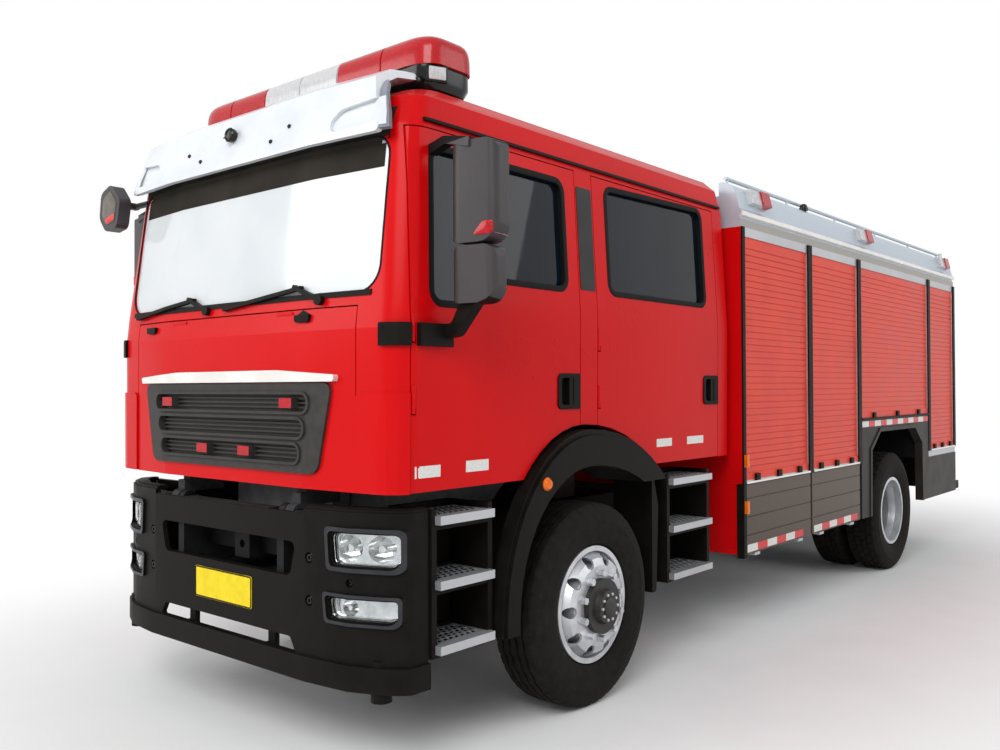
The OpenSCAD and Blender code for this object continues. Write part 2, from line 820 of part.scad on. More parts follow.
// Floor with the engine tunnel, bulkhead and tilt eyes, each panel a solid of its own
module cab_floor() {
    front = 150 - front_overhang;
    t = tunnel_z;
    side = cab_half - wall - 25;
    low = cab_z;
    high = cab_z + 40;
    color("#3b3d40") intersection() {
        cab_form(wall + 0.05);
        union() {
            panel([-460, front + 30, t], [460, big, t + 40]);
            panel([-430, front, t], [430, front + 30, belt_z - 20]);
            pair() {
                panel([430, front + 30, low], [460, big, t]);
                panel([430, front, low], [980, front + 30, belt_z - 20]);
                panel([460, -big, low], [side - 55, front, high]);
                panel([460, front + 30, low], [side - 55, door_y + 130, high]);
                panel([460, door_y + 130, low], [side, -640, high]);
                panel([460, -640, low], [pin_x - 50, 740, high]);
                panel([460, 740, low], [side, cab_rear - 160, high]);
                panel([460, cab_rear - 160, low], [cab_half, big, high]);
            }
        }
    }
    color("#3b3d40") pair() difference() {
        union() {
            block([450, tilt_y + 30, tilt_z + 30], [510, front + 160, low]);
            bar_x(450, 510, 42, tilt_y, tilt_z);
            block([450, tilt_y, tilt_z + 20], [510, tilt_y + 60, cab_z - 30]);
        }
        bar_x(400, 600, 22 + run_fit, tilt_y, tilt_z);
    }
}

// Houses over the front wheels, between the floor and the doors
module wheel_houses() {
    color("#3b3d40") intersection() {
        cab_form(wall + 0.05);
        pair() difference() {
            across(pin_x - 50, cab_half) intersection() {
                arch_shape(1 + (flare_gap + 30) / 160, -100);
                translate([-640, cab_z]) square([1380, 400]);
            }
            arch_clear(flare_gap);
            block([cab_half - wall - 25, door_y, 0], [big, -75, big]);
            block([cab_half - wall - 25, 50, 0], [big, cab_rear - 160, big]);
        }
    }
}

// Front flap with the air opening behind the grille and two grip tabs along its top
module front_flap() {
    color("#c8161d") difference() {
        union() {
            intersection() {
                cab_skin(0, wall);
                back(-big, -600) flap_shape(seam / 2);
            }
            intersection() {
                front_tab_wall();
                back(-big, -600) for (x = [-725, 576])
                    polygon(rounded([[x - 48, flap_z - 42, 14], [x + 48, flap_z - 42, 14],
                        [x + 48, flap_z - 10, 0], [x - 48, flap_z - 10, 0]], 3));
            }
            for (x = [-500, 380]) bar_x(x, x + 120, 9, flap_y, flap_z);
        }
        back(-big, -600) grille_shape(40);
    }
}

// Thickness of the grip tabs, just proud of the flap
module front_tab_wall() {
    translate([0, 0, belt_z - 130]) linear_extrude(130) difference() {
        cab_plan(cab_half + 10, front_y - 10, 0, 120);
        cab_plan(cab_half - 30, front_y + 30, 100, 120);
    }
}

module grille_shape(g) {
    top = belt_z - 335;
    low = cab_z + 65;
    polygon(rounded([[-770 + g, top - g, 40], [770 - g, top - g, 40], [680 - g, low + g, 60],
        [-680 + g, low + g, 60]], 4));
}

// Three air slots with round ends, narrower towards the bottom, made larger by g
function slot_z(i) = belt_z - 425 - i * 112;

module grille_slots(g) {
    for (i = [0:2]) {
        w = 625 - i * 28 + g;
        h = 38 + g;
        translate([0, slot_z(i)]) polygon(rounded([[-w, -h, h - 4], [w, -h, h - 4], [w, h, h - 4],
            [-w, h, h - 4]], 6));
    }
}

// Grille: a plate over the opening, a tub in it, slots with raised rims, louvres and four strobe lamps
module grille() {
    floor = 16;
    color("#4b4e52") union() {
        difference() {
            union() {
                grille_part(-14, -0.6) grille_shape(0);
                grille_part(-1, floor + 14) grille_shape(40.5);
            }
            grille_part(-40, floor) grille_slots(0);
        }
        grille_part(-24, -13) difference() {
            grille_slots(13);
            grille_slots(0);
        }
        grille_part(2, floor + 1) intersection() {
            grille_slots(0);
            for (i = [0:2]) for (d = [-20, 0, 20]) translate([-700, slot_z(i) + d - 4]) square([1400, 8]);
        }
        grille_part(-34, floor + 1) both() {
            translate([450, slot_z(0) - 22]) square([90, 44]);
            translate([130, slot_z(2) - 22]) square([90, 44]);
        }
    }
}

module grille_part(a, b) {
    intersection() {
        front_wall(a, b);
        back(-big, -600) children();
    }
}

// Bright strip over the grille, crowned along its top
module grille_strip() {
    z = belt_z - 331;
    color("#d7dadc") grille_part(-26, -0.6) polygon(rounded([[-790, z, 6], [790, z, 6], [802, z + 29, 10],
        [420, z + 53, 300], [-420, z + 53, 300], [-802, z + 29, 10]], 4));
}

// Sun visor over the windscreen, with an oval hollow at each end
module sun_visor() {
    color("#e6e8ea") difference() {
        union() {
            intersection() {
                cab_skin(-75, -45);
                back(-big, 420 - front_overhang) polygon(rounded([[-1010, roof_z - 60, 20],
                    [1010, roof_z - 60, 20], [900, cab_top + 80, 60], [-900, cab_top + 80, 60]], 4));
            }
            intersection() {
                cab_skin(-50, -touch);
                for (x = [-800, -300, 300, 800])
                    block([x - 15, -big, roof_z + 60], [x + 15, 340 - front_overhang, roof_z + 150]);
            }
        }
        intersection() {
            cab_skin(-90, -57);
            back(-big, 200 - front_overhang) both() polygon(rounded([[640, roof_z - 30, 40],
                [1040, roof_z - 20, 30], [1000, roof_z + 95, 40], [760, roof_z + 75, 70]], 5));
        }
    }
}

// Light bar on the roof: a dark base on two feet under a long dome in five sections
module light_bar() {
    y = 640 - front_overhang;
    low = cab_top + 60;
    half = 940;
    color("#b8141b") difference() {
        union() {
            intersection() {
                union() {
                    across(-half, half) polygon(rounded([[y - 175, low + 70, 10], [y + 175, low + 70, 10],
                        [y + 150, low + 225, 60], [y - 150, low + 225, 60]], 5));
                    across(15 - half, half - 15) polygon([[y - 140, low - 40], [y + 140, low - 40],
                        [y + 165, low + 71], [y - 165, low + 71]]);
                }
                back(y - 200, y + 200) polygon(rounded([[-half, low - 50, 0], [half, low - 50, 0],
                    [half, low + 150, 60], [half - 160, low + 225, 80], [160 - half, low + 225, 80],
                    [-half, low + 150, 60]], 5));
                translate([0, 0, low - 50]) linear_extrude(300) polygon(rounded([[half, y - 175, 150],
                    [half, y + 175, 150], [-half, y + 175, 150], [-half, y - 175, 150]], 6));
            }
            for (x = [-700, 700]) block([x - 60, y - 60, cab_top + touch], [x + 60, y + 60, low - 30]);
        }
        for (x = [-620, -300, 300, 620]) difference() {
            block([x - 4, y - 200, low + 71], [x + 4, y + 200, low + 240]);
            across(x - 5, x + 5) polygon([[y - 167, low + 60], [y + 167, low + 60], [y + 142, low + 219],
                [y - 142, low + 219]]);
        }
    }
}

// Kerb mirror on an arm from the top of the right front pillar
module front_mirror() {
    y = 30 - front_overhang;
    z = roof_z - 110;
    x = -cab_half - 15;
    color("#232426") difference() {
        union() {
            difference() {
                back(y, y + 70) translate([x, z - 10]) kerb_shape(0);
                back(y + 60, y + 80) translate([x, z - 10]) kerb_shape(16);
            }
            block([x - 20, y + 40, z], [x + 20, y + 170, z + 34]);
            bar_x(x, -1000, 17, y + 155, z + 17);
        }
        cab_form(-touch);
    }
}

module kerb_shape(g) {
    polygon(rounded([[-115 + g, -50, 60 - g], [-40, -135 + g, 60 - g], [85 - g, -115 + g, 45 - g],
        [118 - g, 30, 45 - g], [20, 132 - g, 50 - g], [-95 + g, 90 - g, 50 - g]], 5));
}

// Black trims round the front corners, in line with the feet of the door mirrors
module corner_trims() {
    color("#232426") difference() {
        intersection() {
            cab_skin(-15, -touch);
            pair() block([1040, -big, belt_z - 185], [big, door_y - seam, belt_z - 88]);
        }
        pair() for (z = hinge_heights())
            block([hinge_x - 25, door_y - 18, z - 30], [hinge_x - 5, door_y, z + 2]);
    }
}

// Cowl under the windscreen with the two wipers on it
module wipers() {
    z = belt_z + 24;
    color("#141415") union() {
        intersection() {
            cab_skin(-6, -touch);
            back(-big, -600) translate([-975, belt_z + 32]) square([1950, 24]);
        }
        intersection() {
            cab_skin(-24, -touch);
            back(-big, -600) for (x = [-190, 680]) translate([x, z]) {
                circle(r = 22, $fn = 24);
                rotate(158) translate([0, -9]) square([190, 18]);
                translate([-120, 62]) rotate(186) translate([0, -9]) square([600, 18]);
            }
        }
    }
}

module dashboard() {
    front = 180 - front_overhang;
    color("#2e3033") union() {
        difference() {
            across(-960, 960) polygon(rounded([[front, belt_z - 300, 0], [front + 120, belt_z - 300, 20],
                [front + 330, belt_z - 170, 30], [front + 330, belt_z - 60, 40],
                [front + 60, belt_z - 25, 30], [front, belt_z - 25, 0]], 3));
            block([-461, -big, 0], [461, big, tunnel_z + 80]);
        }
        wheel_place() translate([0, 0, -300]) cylinder(r = 38, h = 279, $fn = 32);
    }
}

module seat(x, y, w) {
    translate([x, y, cab_z + 40]) {
        block([-80, 60, 0], [80, 420, 330]);
        block([-w / 2, 0, 329], [w / 2, 470, 470]);
        translate([0, 440, 400]) rotate([-8, 0, 0]) block([-w / 2 + 20, 0, 0], [w / 2 - 20, 110, 640]);
        translate([0, 470, 1020]) rotate([-8, 0, 0]) block([-130, 60, 0], [130, 140, 170]);
    }
}

module seats() {
    b = cab_rear - wall;
    color("#33363b") {
        for (x = [-705, 705]) seat(x, 730 - front_overhang, 460);
        difference() {
            union() {
                block([-1000, b - 520, cab_z + 40], [1000, b - 60, 1610]);
                block([-1000, b - 560, 1609], [1000, b - 60, 1740]);
                block([-1000, b - 130, 1739], [1000, b - 10, 2300]);
            }
            block([-461, -big, 0], [461, big, 1601]);
        }
    }
}

module steering_wheel() {
    color("#1d1e20") wheel_place() union() {
        rotate_extrude($fn = 48) translate([220, 0]) circle(r = 16, $fn = 24);
        cylinder(r = 70, h = 40, center = true, $fn = 32);
        for (a = [90, 210, 330]) rotate([0, 0, a]) block([0, -20, -8], [215, 20, 8]);
    }
}

// Door mirrors: a tall and a low head on arms from the top and the foot of the window
module mirror_set() {
    x = cab_half + 195;
    y = 370 - front_overhang;
    tall = (roof_z - belt_z) * 0.545;
    foot = belt_z - 185;
    z = belt_z + 240;
    top = z + tall;
    color("#5a5d61") difference() {
        union() {
            mirror_head(x, y, z, 240, 140, tall);
            mirror_head(x - 6, y, belt_z - 10, 226, 130, 240);
            block([x - 60, y - 20, z - 30], [x - 20, y + 30, z + 20]);
            back(y - 70, y - 20) polygon(rounded([[cab_half - 80, top - 40, 0], [cab_half + 60, top + 4, 30],
                [x, top - 30, 0], [x, top + 12, 0], [cab_half + 50, top + 38, 40],
                [cab_half - 80, top + 4, 0]], 4));
            back(y - 34, y + 24) polygon(rounded([[cab_half - 80, foot + 30, 0],
                [cab_half + 80, foot + 44, 40], [x + 20, belt_z + 10, 0], [x - 70, belt_z + 20, 0],
                [cab_half + 60, foot + 97, 30], [cab_half - 80, foot + 97, 0]], 4));
            block([cab_half - 80, door_y + 30, foot], [cab_half + 26, door_y + 225, foot + 97]);
        }
        cab_form(-touch);
    }
}

// Mirror head: round in plan and in front view, with a hollow for the glass at the back
module mirror_head(x, y, z, w, d, h) {
    translate([x, y, z]) difference() {
        intersection() {
            linear_extrude(h) polygon(rounded([[-w / 2, -d * 0.55, d * 0.4], [w / 2, -d * 0.3, d * 0.3],
                [w / 2, d * 0.4, 12], [-w / 2, d * 0.4, 12]], 6));
            back(-d, d) mirror_face(w, h, 0);
        }
        back(d * 0.4 - 8, d) mirror_face(w, h, 14);
    }
}

// Outline of a mirror head in front view, drawn in by g
module mirror_face(w, h, g) {
    polygon(rounded([[g - w / 2, g, 60 - g], [w / 2 - g, g, 80 - g], [w / 2 - g, h - g, 50 - g],
        [g - w / 2, h - g, 60 - g]], 5));
}

// Equipment body

function shutter_low(i) = i == 2 ? arch_top + 15 : deck_z + 20;

// Floor of the equipment body with the houses over the rear wheels
module body_floor() {
    h = body_half - 4;
    low = deck_z - 60;
    house = wheel_x - 2 * disc_set - tyre_w / 2 - 30;
    arch = body_half - 61;
    first = wheelbase - 770;
    last = wheelbase + 770;
    step = SHUTTERS[1][1] + 40;
    color("#8f9398") {
        panel([-rail_x, body_front + 200, rail_top], [rail_x, body_rear - 200, low]);
        panel([30 - house, body_front, low], [house - 30, body_rear, deck_z]);
        pair() {
            panel([house - 30, body_front, low], [body_half - 44, step, deck_z]);
            panel([house - 30, step, low], [arch, first, deck_z]);
            panel([house - 30, last, low], [arch, SHUTTERS[2][1], deck_z]);
            panel([house - 30, SHUTTERS[2][1], low], [h, body_rear, deck_z]);
            panel([house - 30, first, low], [house, last, 1270]);
            panel([house - 30, first, 1270], [arch, last, 1300]);
            panel([house, first, low], [arch, first + 30, 1270]);
            panel([house, last - 30, low], [arch, last, 1270]);
        }
    }
}

// Walls, posts and roof of the equipment body, each a panel of its own
module body_shell() {
    w = 40;
    h = body_half - 4;
    in = h - 70;
    arch = body_half - 61;
    front = body_front + w;
    rear = body_rear - w;
    sill = deck_z + 20;
    head = shutter_top - 20;
    color("#8f9398") {
        panel([-h, body_front, deck_z], [h, front, shutter_top]);
        panel([-h, body_front, shutter_top], [h, body_rear, shutter_top + 40]);
        panel([-700, rear, deck_z], [700, body_rear, deck_z + 60]);
        panel([-700, rear, shutter_top - 60], [700, body_rear, shutter_top]);
        pair() {
            panel([700, rear, deck_z], [h, body_rear, shutter_top]);
            panel([in, front, head], [h, rear, shutter_top]);
            panel([in, front, deck_z], [h, SHUTTERS[1][1], sill]);
            panel([in, SHUTTERS[2][1], deck_z], [h, rear, sill]);
            for (i = [0:2])
                panel([in, SHUTTERS[i][1], i == 1 ? deck_z : sill], [h, SHUTTERS[i + 1][0], head]);
            panel([in, SHUTTERS[3][1], sill], [h, rear, head]);
            panel([in, SHUTTERS[2][0], arch_top + 1], [h, SHUTTERS[2][1], arch_top + 15]);
            panel([in, SHUTTERS[2][0], 1300], [arch, SHUTTERS[2][1], arch_top + 1]);
            panel([in, SHUTTERS[2][0], deck_z], [arch, wheelbase - 770, 1300]);
            panel([in, wheelbase + 770, deck_z], [arch, SHUTTERS[2][1], 1300]);
        }
    }
}

// Lockers under the floor, open to the side, with the seats of the flap hinges
module body_lockers() {
    low = deck_z - 60;
    out = body_half - 44;
    last = SHUTTERS[1][1] + 40;
    ends = [[body_front, SHUTTERS[0][0] + 10], [SHUTTERS[0][1] - 10, SHUTTERS[1][0] + 10],
        [SHUTTERS[1][1] - 10, last]];
    color("#8f9398") pair() {
        panel([760, body_front, locker_z], [800, last, low]);
        panel([800, body_front, locker_z], [out, last, locker_z + 30]);
        for (e = ends) panel([800, e[0], locker_z + 30], [out, e[1], low]);
        for (i = [0:1]) for (y = [SHUTTERS[i][0] + 120, SHUTTERS[i][1] - 200]) flap_seat(y);
    }
}

// Seat under a flap's hinge barrel
module flap_seat(y) {
    block([body_half - 100, y, locker_z - 20], [body_half, y + 80, locker_z - 1 - touch]);
    block([body_half - 100, y, locker_z - 20], [body_half - 50, y + 80, locker_z]);
}

// One side of the cornice in (x, z), from its foot to the roof edge, with corner radii
function cornice_side(h, z) = [[h - 6, z, 0], [h - 6, z + 52, 0], [h - 16, z + 58, 0], [h - 16, z + 66, 0],
    [h + 6, z + 74, 0], [h + 6, z + 100, 10], [h - 14, z + 120, 20], [h - 50, body_top - 40, 120],
    [h - 130, body_top, 40]];
function flip(p) = [for (i = [len(p) - 1:-1:0]) [-p[i][0], p[i][1], p[i][2]]];

// Curved aluminium cornice with the roof deck and its rails
module body_cornice() {
    low = shutter_top + 40;
    side = cornice_side(body_half, low);
    rail = body_half - 145;
    color("#c3c6c8") union() {
        difference() {
            back(body_front, body_rear) polygon(rounded(concat(side, flip(side)), 5));
            block([160 - body_half, body_front - 10, body_top - 90],
                [body_half - 160, body_rear + 10, body_top + 10]);
            block([90 - body_half, body_front + 40, low - 10],
                [body_half - 90, body_rear - 40, body_top - 130]);
            flashers(touch);
        }
        pair() {
            translate([rail, body_front + 60, body_top + 36]) rotate([-90, 0, 0])
                cylinder(r = 13, h = body_rear - body_front - 120, $fn = 24);
            for (i = [0:5])
                translate([rail, body_front + 90 + i * (body_rear - body_front - 180) / 5, body_top - 5])
                    cylinder(r = 9, h = 40, $fn = 24);
        }
    }
}

// Flasher lamps set into the cornice, a clear half before a red half, made larger by g
module flashers(g) {
    pair() for (y = [body_front + 290, wheelbase - 760, body_rear - 320])
        translate([body_half - 74, y, body_top - 100]) rotate([0, -14, 0]) {
            block([-g, -140 - g, -50 - g], [72, 10, 50 + g]);
            block([-g, 9, -50 - g], [84, 140 + g, 50 + g]);
        }
}

// Black posts and rails round the shutters, with the latches on the rails
module shutter_frames() {
    x = body_half - 4 + touch;
    out = body_half + 8;
    top = shutter_top + 39;
    color("#232426") pair() {
        block([x, body_front - 6, deck_z - 3], [out, SHUTTERS[0][0] - 8, top]);
        block([body_half - 44 + touch, body_front - 6, locker_z - 20],
            [out, SHUTTERS[0][0] - 8, deck_z - 3 - touch]);
        for (i = [0:3]) {
            rail = i == 2 ? arch_top + 1 : deck_z;
            first = SHUTTERS[i][0] + touch - (i == 0 ? 8 : 0);
            last = SHUTTERS[i][1] - touch;
            block([x, SHUTTERS[i][1], i == 3 ? deck_z : deck_z - 1],
                [out, i == 3 ? body_rear : SHUTTERS[i + 1][0], top]);
            union() {
                block([x, first, rail], [body_half + 14, last, rail + 13]);
                for (k = [1, 3, 5]) translate([0, first + (last - first) * k / 6, rail])
                    block([x, -28, 0], [body_half + 12, 28, 58]);
            }
        }
    }
}

// Roller shutters: slats with a line between each two, over a lifting bar
module shutter(w, h) {
    pitch = 42;
    n = floor(h / pitch);
    color("#c01a20") union() {
        difference() {
            cube([24, w, h]);
            for (i = [2:n - 1]) translate([18, -1, i * pitch]) cube([10, w + 2, 6]);
        }
        cube([31, w, 46]);
    }
}

module roller_shutters() {
    h = body_half - 4;
    pair() for (i = [0:3]) translate([h - 32, SHUTTERS[i][0], shutter_low(i)])
        shutter(SHUTTERS[i][1] - SHUTTERS[i][0], shutter_top - 20 - shutter_low(i));
    translate([700, body_rear - 32, deck_z + 60]) rotate([0, 0, 90])
        shutter(1400, shutter_top - 120 - deck_z);
}

module rear_arch(g) {
    polygon([[wheelbase - 710 - g, 300], [wheelbase - 690 - g, 1100 + g / 2], [wheelbase - 480, 1250 + g],
        [wheelbase + 480, 1250 + g], [wheelbase + 690 + g, 1100 + g / 2], [wheelbase + 710 + g, 300]]);
}

// Panels round the rear wheels, each with a raised rim, and the skirts behind them
module arch_panels() {
    cut = touch / 2;
    color("#4d5054") pair() difference() {
        union() {
            across(body_half - 60, body_half + 2) difference() {
                union() {
                    translate([SHUTTERS[2][0], locker_z]) square([2 * arch_half, arch_top - locker_z]);
                    translate([SHUTTERS[2][1] - 1, locker_z])
                        square([body_rear - SHUTTERS[2][1], deck_z - 60 - locker_z]);
                }
                rear_arch(0);
            }
            across(body_half, body_half + 12) intersection() {
                difference() {
                    rear_arch(34);
                    rear_arch(0);
                }
                translate([0, locker_z]) square([tail, big]);
            }
        }
        for (s = [-1, 1]) block([0, wheelbase + s * 480 - cut, 1100], [big, wheelbase + s * 480 + cut, big]);
        block([0, 0, 1100 - cut], [big, tail, 1100 + cut]);
        block([0, SHUTTERS[2][1] - cut, 0], [big, SHUTTERS[2][1] + cut, deck_z]);
    }
}

// Lower flap, drawn on the left, hinged along its lower edge
module locker_flap(i) {
    first = SHUTTERS[i][0] - (i == 0 ? 0 : 20);
    last = SHUTTERS[i][1] + 20;
    color("#a9adb0") union() {
        difference() {
            block([body_half - 37, first, locker_z + 4], [body_half + 2, last, deck_z - 7]);
            for (k = [1:3]) block([body_half - 4, first - 10, locker_z + k * 120],
                [body_half + 10, last + 10, locker_z + k * 120 + 8]);
        }
        translate([body_half - 6, SHUTTERS[i][0], locker_z + 8]) rotate([-90, 0, 0])
            cylinder(r = 9, h = SHUTTERS[i][1] - SHUTTERS[i][0], $fn = 24);
    }
}

module tail_step() {
    color("#26272a") difference() {
        union() {
            block([-body_half + 10, body_rear + touch, 560], [body_half - 10, tail, 640]);
            block([-body_half + 10, body_rear + touch, 639], [body_half - 10, body_rear + 20, deck_z]);
        }
        block([-100, body_rear - 10, rail_low + 40], [100, body_rear + 40, rail_low + 120]);
    }
}

module roof_ladder() {
    x = body_half - 320;
    y = body_rear + 70;
    low = deck_z - 110;
    rise = body_top + 65 - low;
    color("#b9bcbf") union() {
        for (s = [-170, 170]) translate([x + s, y, low]) cylinder(r = 17, h = rise, $fn = 24);
        for (i = [0:6]) bar_x(x - 170, x + 170, 14, y, low + 100 + i * (rise - 340) / 6);
        for (s = [-170, 170]) for (z = [low + 130, body_top - 125])
            block([x + s - 12, body_rear + touch, z], [x + s + 12, y, z + 24]);
    }
}

place() chassis_frame();
place() engine_block();
place() front_axle();
place() rear_axle();
place() leaf_springs();
place() front_bumper();
place() lamps();
place() step_boxes();
place() step_treads();
place() front_fenders();
place() body_floor();
place() body_shell();
place() body_lockers();
place() body_cornice();
place() shutter_frames();
place() roller_shutters();
place() arch_panels();
place() tail_step();
place() roof_ladder();
place() locker_flap(0);  // locker_flap_left_front
place() locker_flap(1);  // locker_flap_left_rear
place() mirror([1, 0, 0]) locker_flap(0);  // locker_flap_right_front
place() mirror([1, 0, 0]) locker_flap(1);  // locker_flap_right_rear
place() to_axle(wheel_x) tyre();  // tyre_front_left
place() to_axle(wheel_x) front_wheel();  // wheel_front_left
place() mirror([1, 0, 0]) to_axle(wheel_x) tyre();  // tyre_front_right
place() mirror([1, 0, 0]) to_axle(wheel_x) front_wheel();  // wheel_front_right
place() rear_place() rear_tyres();  // tyres_rear_left
place() rear_place() rear_wheels();  // wheels_rear_left
place() mirror([1, 0, 0]) rear_place() rear_tyres();  // tyres_rear_right
place() mirror([1, 0, 0]) rear_place() rear_wheels();  // wheels_rear_right
place() knuckle();  // knuckle_left
place() mirror([1, 0, 0]) knuckle();  // knuckle_right
place() cab_floor();
place() wheel_houses();
place() cab_frame();
place() cab_roof();
place() windscreen();
place() sun_visor();
place() light_bar();
place() front_mirror();
place() corner_trims();
place() wipers();
place() dashboard();
place() seats();
place() steering_wheel();
place() front_flap();
place() grille();
place() grille_strip();
place() door_front();  // door_front_left
place() door_rear();  // door_rear_left
place() mirror([1, 0, 0]) door_front();  // door_front_right
place() mirror([1, 0, 0]) door_rear();  // door_rear_right
place() glass_front();  // glass_front_left
place() glass_rear();  // glass_rear_left
place() mirror([1, 0, 0]) glass_front();  // glass_front_right
place() mirror([1, 0, 0]) glass_rear();  // glass_rear_right
place() mirror_set();  // mirror_left
place() mirror([1, 0, 0]) mirror_set();  // mirror_right
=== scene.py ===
"""Looks of the crew-cab rescue fire truck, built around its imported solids."""

import math

import bmesh
import bpy
from mathutils import Matrix, Vector
from mathutils.bvhtree import BVHTree


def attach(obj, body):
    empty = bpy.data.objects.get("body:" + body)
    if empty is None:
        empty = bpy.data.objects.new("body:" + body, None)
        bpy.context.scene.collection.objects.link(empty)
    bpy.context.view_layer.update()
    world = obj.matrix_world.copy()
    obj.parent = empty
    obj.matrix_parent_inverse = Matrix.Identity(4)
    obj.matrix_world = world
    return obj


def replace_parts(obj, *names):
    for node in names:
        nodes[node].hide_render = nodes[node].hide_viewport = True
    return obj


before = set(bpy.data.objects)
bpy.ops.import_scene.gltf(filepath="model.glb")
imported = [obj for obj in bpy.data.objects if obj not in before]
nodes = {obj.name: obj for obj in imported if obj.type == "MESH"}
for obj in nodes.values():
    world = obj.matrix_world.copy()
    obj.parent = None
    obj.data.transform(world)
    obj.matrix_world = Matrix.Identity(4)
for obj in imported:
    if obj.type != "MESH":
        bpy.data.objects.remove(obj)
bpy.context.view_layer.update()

# Places along Y are written from the front axle, as in the part's source, in metres
AXLE_Y = -2.630
SIDES = ((1, "left"), (-1, "right"))
CAB_HALF, BELT_Z, ROOF_Z = 1.140, 2.000, 2.780
BODY_HALF, BODY_FRONT, BODY_REAR = 1.200, 1.620, 6.560
DECK_Z, LOCKER_Z, ARCH_TOP = 1.010, 0.550, 1.360
WHEELBASE, FRONT, AXLE_Z = 4.700, -1.450, 0.522
TYRE_R, TYRE_X, TWIN_X = 0.522, 1.028, 0.708
SHUTTERS = ((1.660, 2.690), (2.760, 3.710), (3.780, 5.620), (5.690, 6.500))
# Step boxes: first and last Y, height of the lowest tread; three treads stand one above the other
STEPS, STEP_RISE = ((-1.160, -0.770, 0.520), (0.780, 1.290, 0.530)), 0.275
# On the doors: handle recesses along Y and Z, and the lowest and highest (Y, Z) of the window reveals
HANDLES, HANDLE_Z = {"front": (-0.285, -0.094), "rear": (1.205, 1.396)}, (1.528, 1.712)
REVEALS = {"front": ((-1.162, 2.008), (-0.203, 2.672)), "rear": ((0.198, 2.148), (1.242, 2.727))}
# An X outside either side of the truck, and a Y behind it
OUTSIDE, BEHIND = 2, 7


def at(x, y, z):
    """A point given from the front axle, in the part's frame."""
    return Vector((x, y + AXLE_Y, z))


# Materials


def srgb(r, g, b):
    """A colour as a screen shows it (0 to 255), as linear light."""
    line = [c / 255 for c in (r, g, b)]
    return tuple(c / 12.92 if c <= 0.04045 else ((c + 0.055) / 1.055) ** 2.4 for c in line) + (1.0,)


def material(name, dark, light, rough, grain=25.0, bump=0.0, bump_grain=500.0, stretch=(1, 1, 1), **sockets):
    """A Principled material whose colour and roughness drift with noise, over a fine bump."""
    mat = bpy.data.materials.new(name)
    mat.use_nodes = True
    tree = mat.node_tree
    shader = tree.nodes["Principled BSDF"]
    where = tree.nodes.new("ShaderNodeTexCoord")
    turn = tree.nodes.new("ShaderNodeMapping")
    turn.inputs["Scale"].default_value = stretch
    tree.links.new(where.outputs["Object"], turn.inputs["Vector"])
    drift = tree.nodes.new("ShaderNodeTexNoise")
    drift.inputs["Scale"].default_value = grain
    drift.inputs["Detail"].default_value = 5.0
    tree.links.new(turn.outputs["Vector"], drift.inputs["Vector"])
    ramp = tree.nodes.new("ShaderNodeValToRGB")
    ramp.color_ramp.elements[0].position = 0.36
    ramp.color_ramp.elements[1].position = 0.64
    ramp.color_ramp.elements[0].color = dark
    ramp.color_ramp.elements[1].color = light
    tree.links.new(drift.outputs["Fac"], ramp.inputs["Fac"])
    tree.links.new(ramp.outputs["Color"], shader.inputs["Base Color"])
    span = tree.nodes.new("ShaderNodeMapRange")
    span.inputs["From Min"].default_value = 0.3
    span.inputs["From Max"].default_value = 0.7
    span.inputs["To Min"].default_value = rough[0]
    span.inputs["To Max"].default_value = rough[1]
    tree.links.new(drift.outputs["Fac"], span.inputs["Value"])
    tree.links.new(span.outputs["Result"], shader.inputs["Roughness"])
    if bump:
        fine = tree.nodes.new("ShaderNodeTexNoise")
        fine.inputs["Scale"].default_value = bump_grain
        fine.inputs["Detail"].default_value = 3.0
        tree.links.new(turn.outputs["Vector"], fine.inputs["Vector"])
        press = tree.nodes.new("ShaderNodeBump")
        press.inputs["Strength"].default_value = bump
        press.inputs["Distance"].default_value = 0.001
        tree.links.new(fine.outputs["Fac"], press.inputs["Height"])
        tree.links.new(press.outputs["Normal"], shader.inputs["Normal"])
    for socket, value in sockets.items():
        shader.inputs[socket.replace("_", " ")].default_value = value
    return mat


RED = material("red_paint", srgb(203, 7, 12), srgb(208, 9, 14), (0.27, 0.3), 1.5, Specular_IOR_Level=0.12)
# The shutters' own red paint, made lighter and more orange than the cab red with painted glare
SHUTTER_RED_GLARE = material("shutter_red_and_glare", srgb(220, 62, 44), srgb(228, 72, 52), (0.34, 0.42), 4.0, 0.02, 300.0,
                       Specular_IOR_Level=0.2)
BLACK = material("black_plastic", srgb(19, 17, 15), srgb(24, 22, 19), (0.46, 0.54), 9.0, 0.1, 900.0,
                 Specular_IOR_Level=0.08)
DARK = material("dark_grey_plastic", srgb(50, 47, 45), srgb(60, 57, 54), (0.46, 0.56), 18.0, 0.16, 900.0,
                Specular_IOR_Level=0.2)
BEZEL = material("lamp_bezel", srgb(36, 38, 42), srgb(46, 48, 52), (0.3, 0.4), 14.0, 0.1, 700.0,
                 Specular_IOR_Level=0.3)
GLOSS_BLACK = material("gloss_black", srgb(12, 12, 13), srgb(18, 18, 19), (0.12, 0.18), 8.0,
                       Specular_IOR_Level=0.3)
SEAL = material("rubber_seal", srgb(14, 14, 14), srgb(21, 21, 21), (0.6, 0.72), 60.0, 0.12, 700.0,
                Specular_IOR_Level=0.12)
FRAME = material("frame_black", srgb(20, 20, 21), srgb(29, 28, 27), (0.5, 0.64), 12.0, 0.15, 300.0,
                 Specular_IOR_Level=0.15)
RUBBER = material("tyre_rubber", srgb(22, 20, 18), srgb(34, 31, 28), (0.74, 0.88), 22.0, 0.3, 420.0,
                  Specular_IOR_Level=0.12)
SILVER = material("wheel_silver", srgb(192, 195, 199), srgb(212, 214, 217), (0.3, 0.4), 14.0, 0.04, 500.0,
                  Metallic=0.6)
HUB = material("hub_dark", srgb(40, 39, 38), srgb(54, 52, 50), (0.42, 0.55), 30.0, 0.2, 260.0, Metallic=0.3)
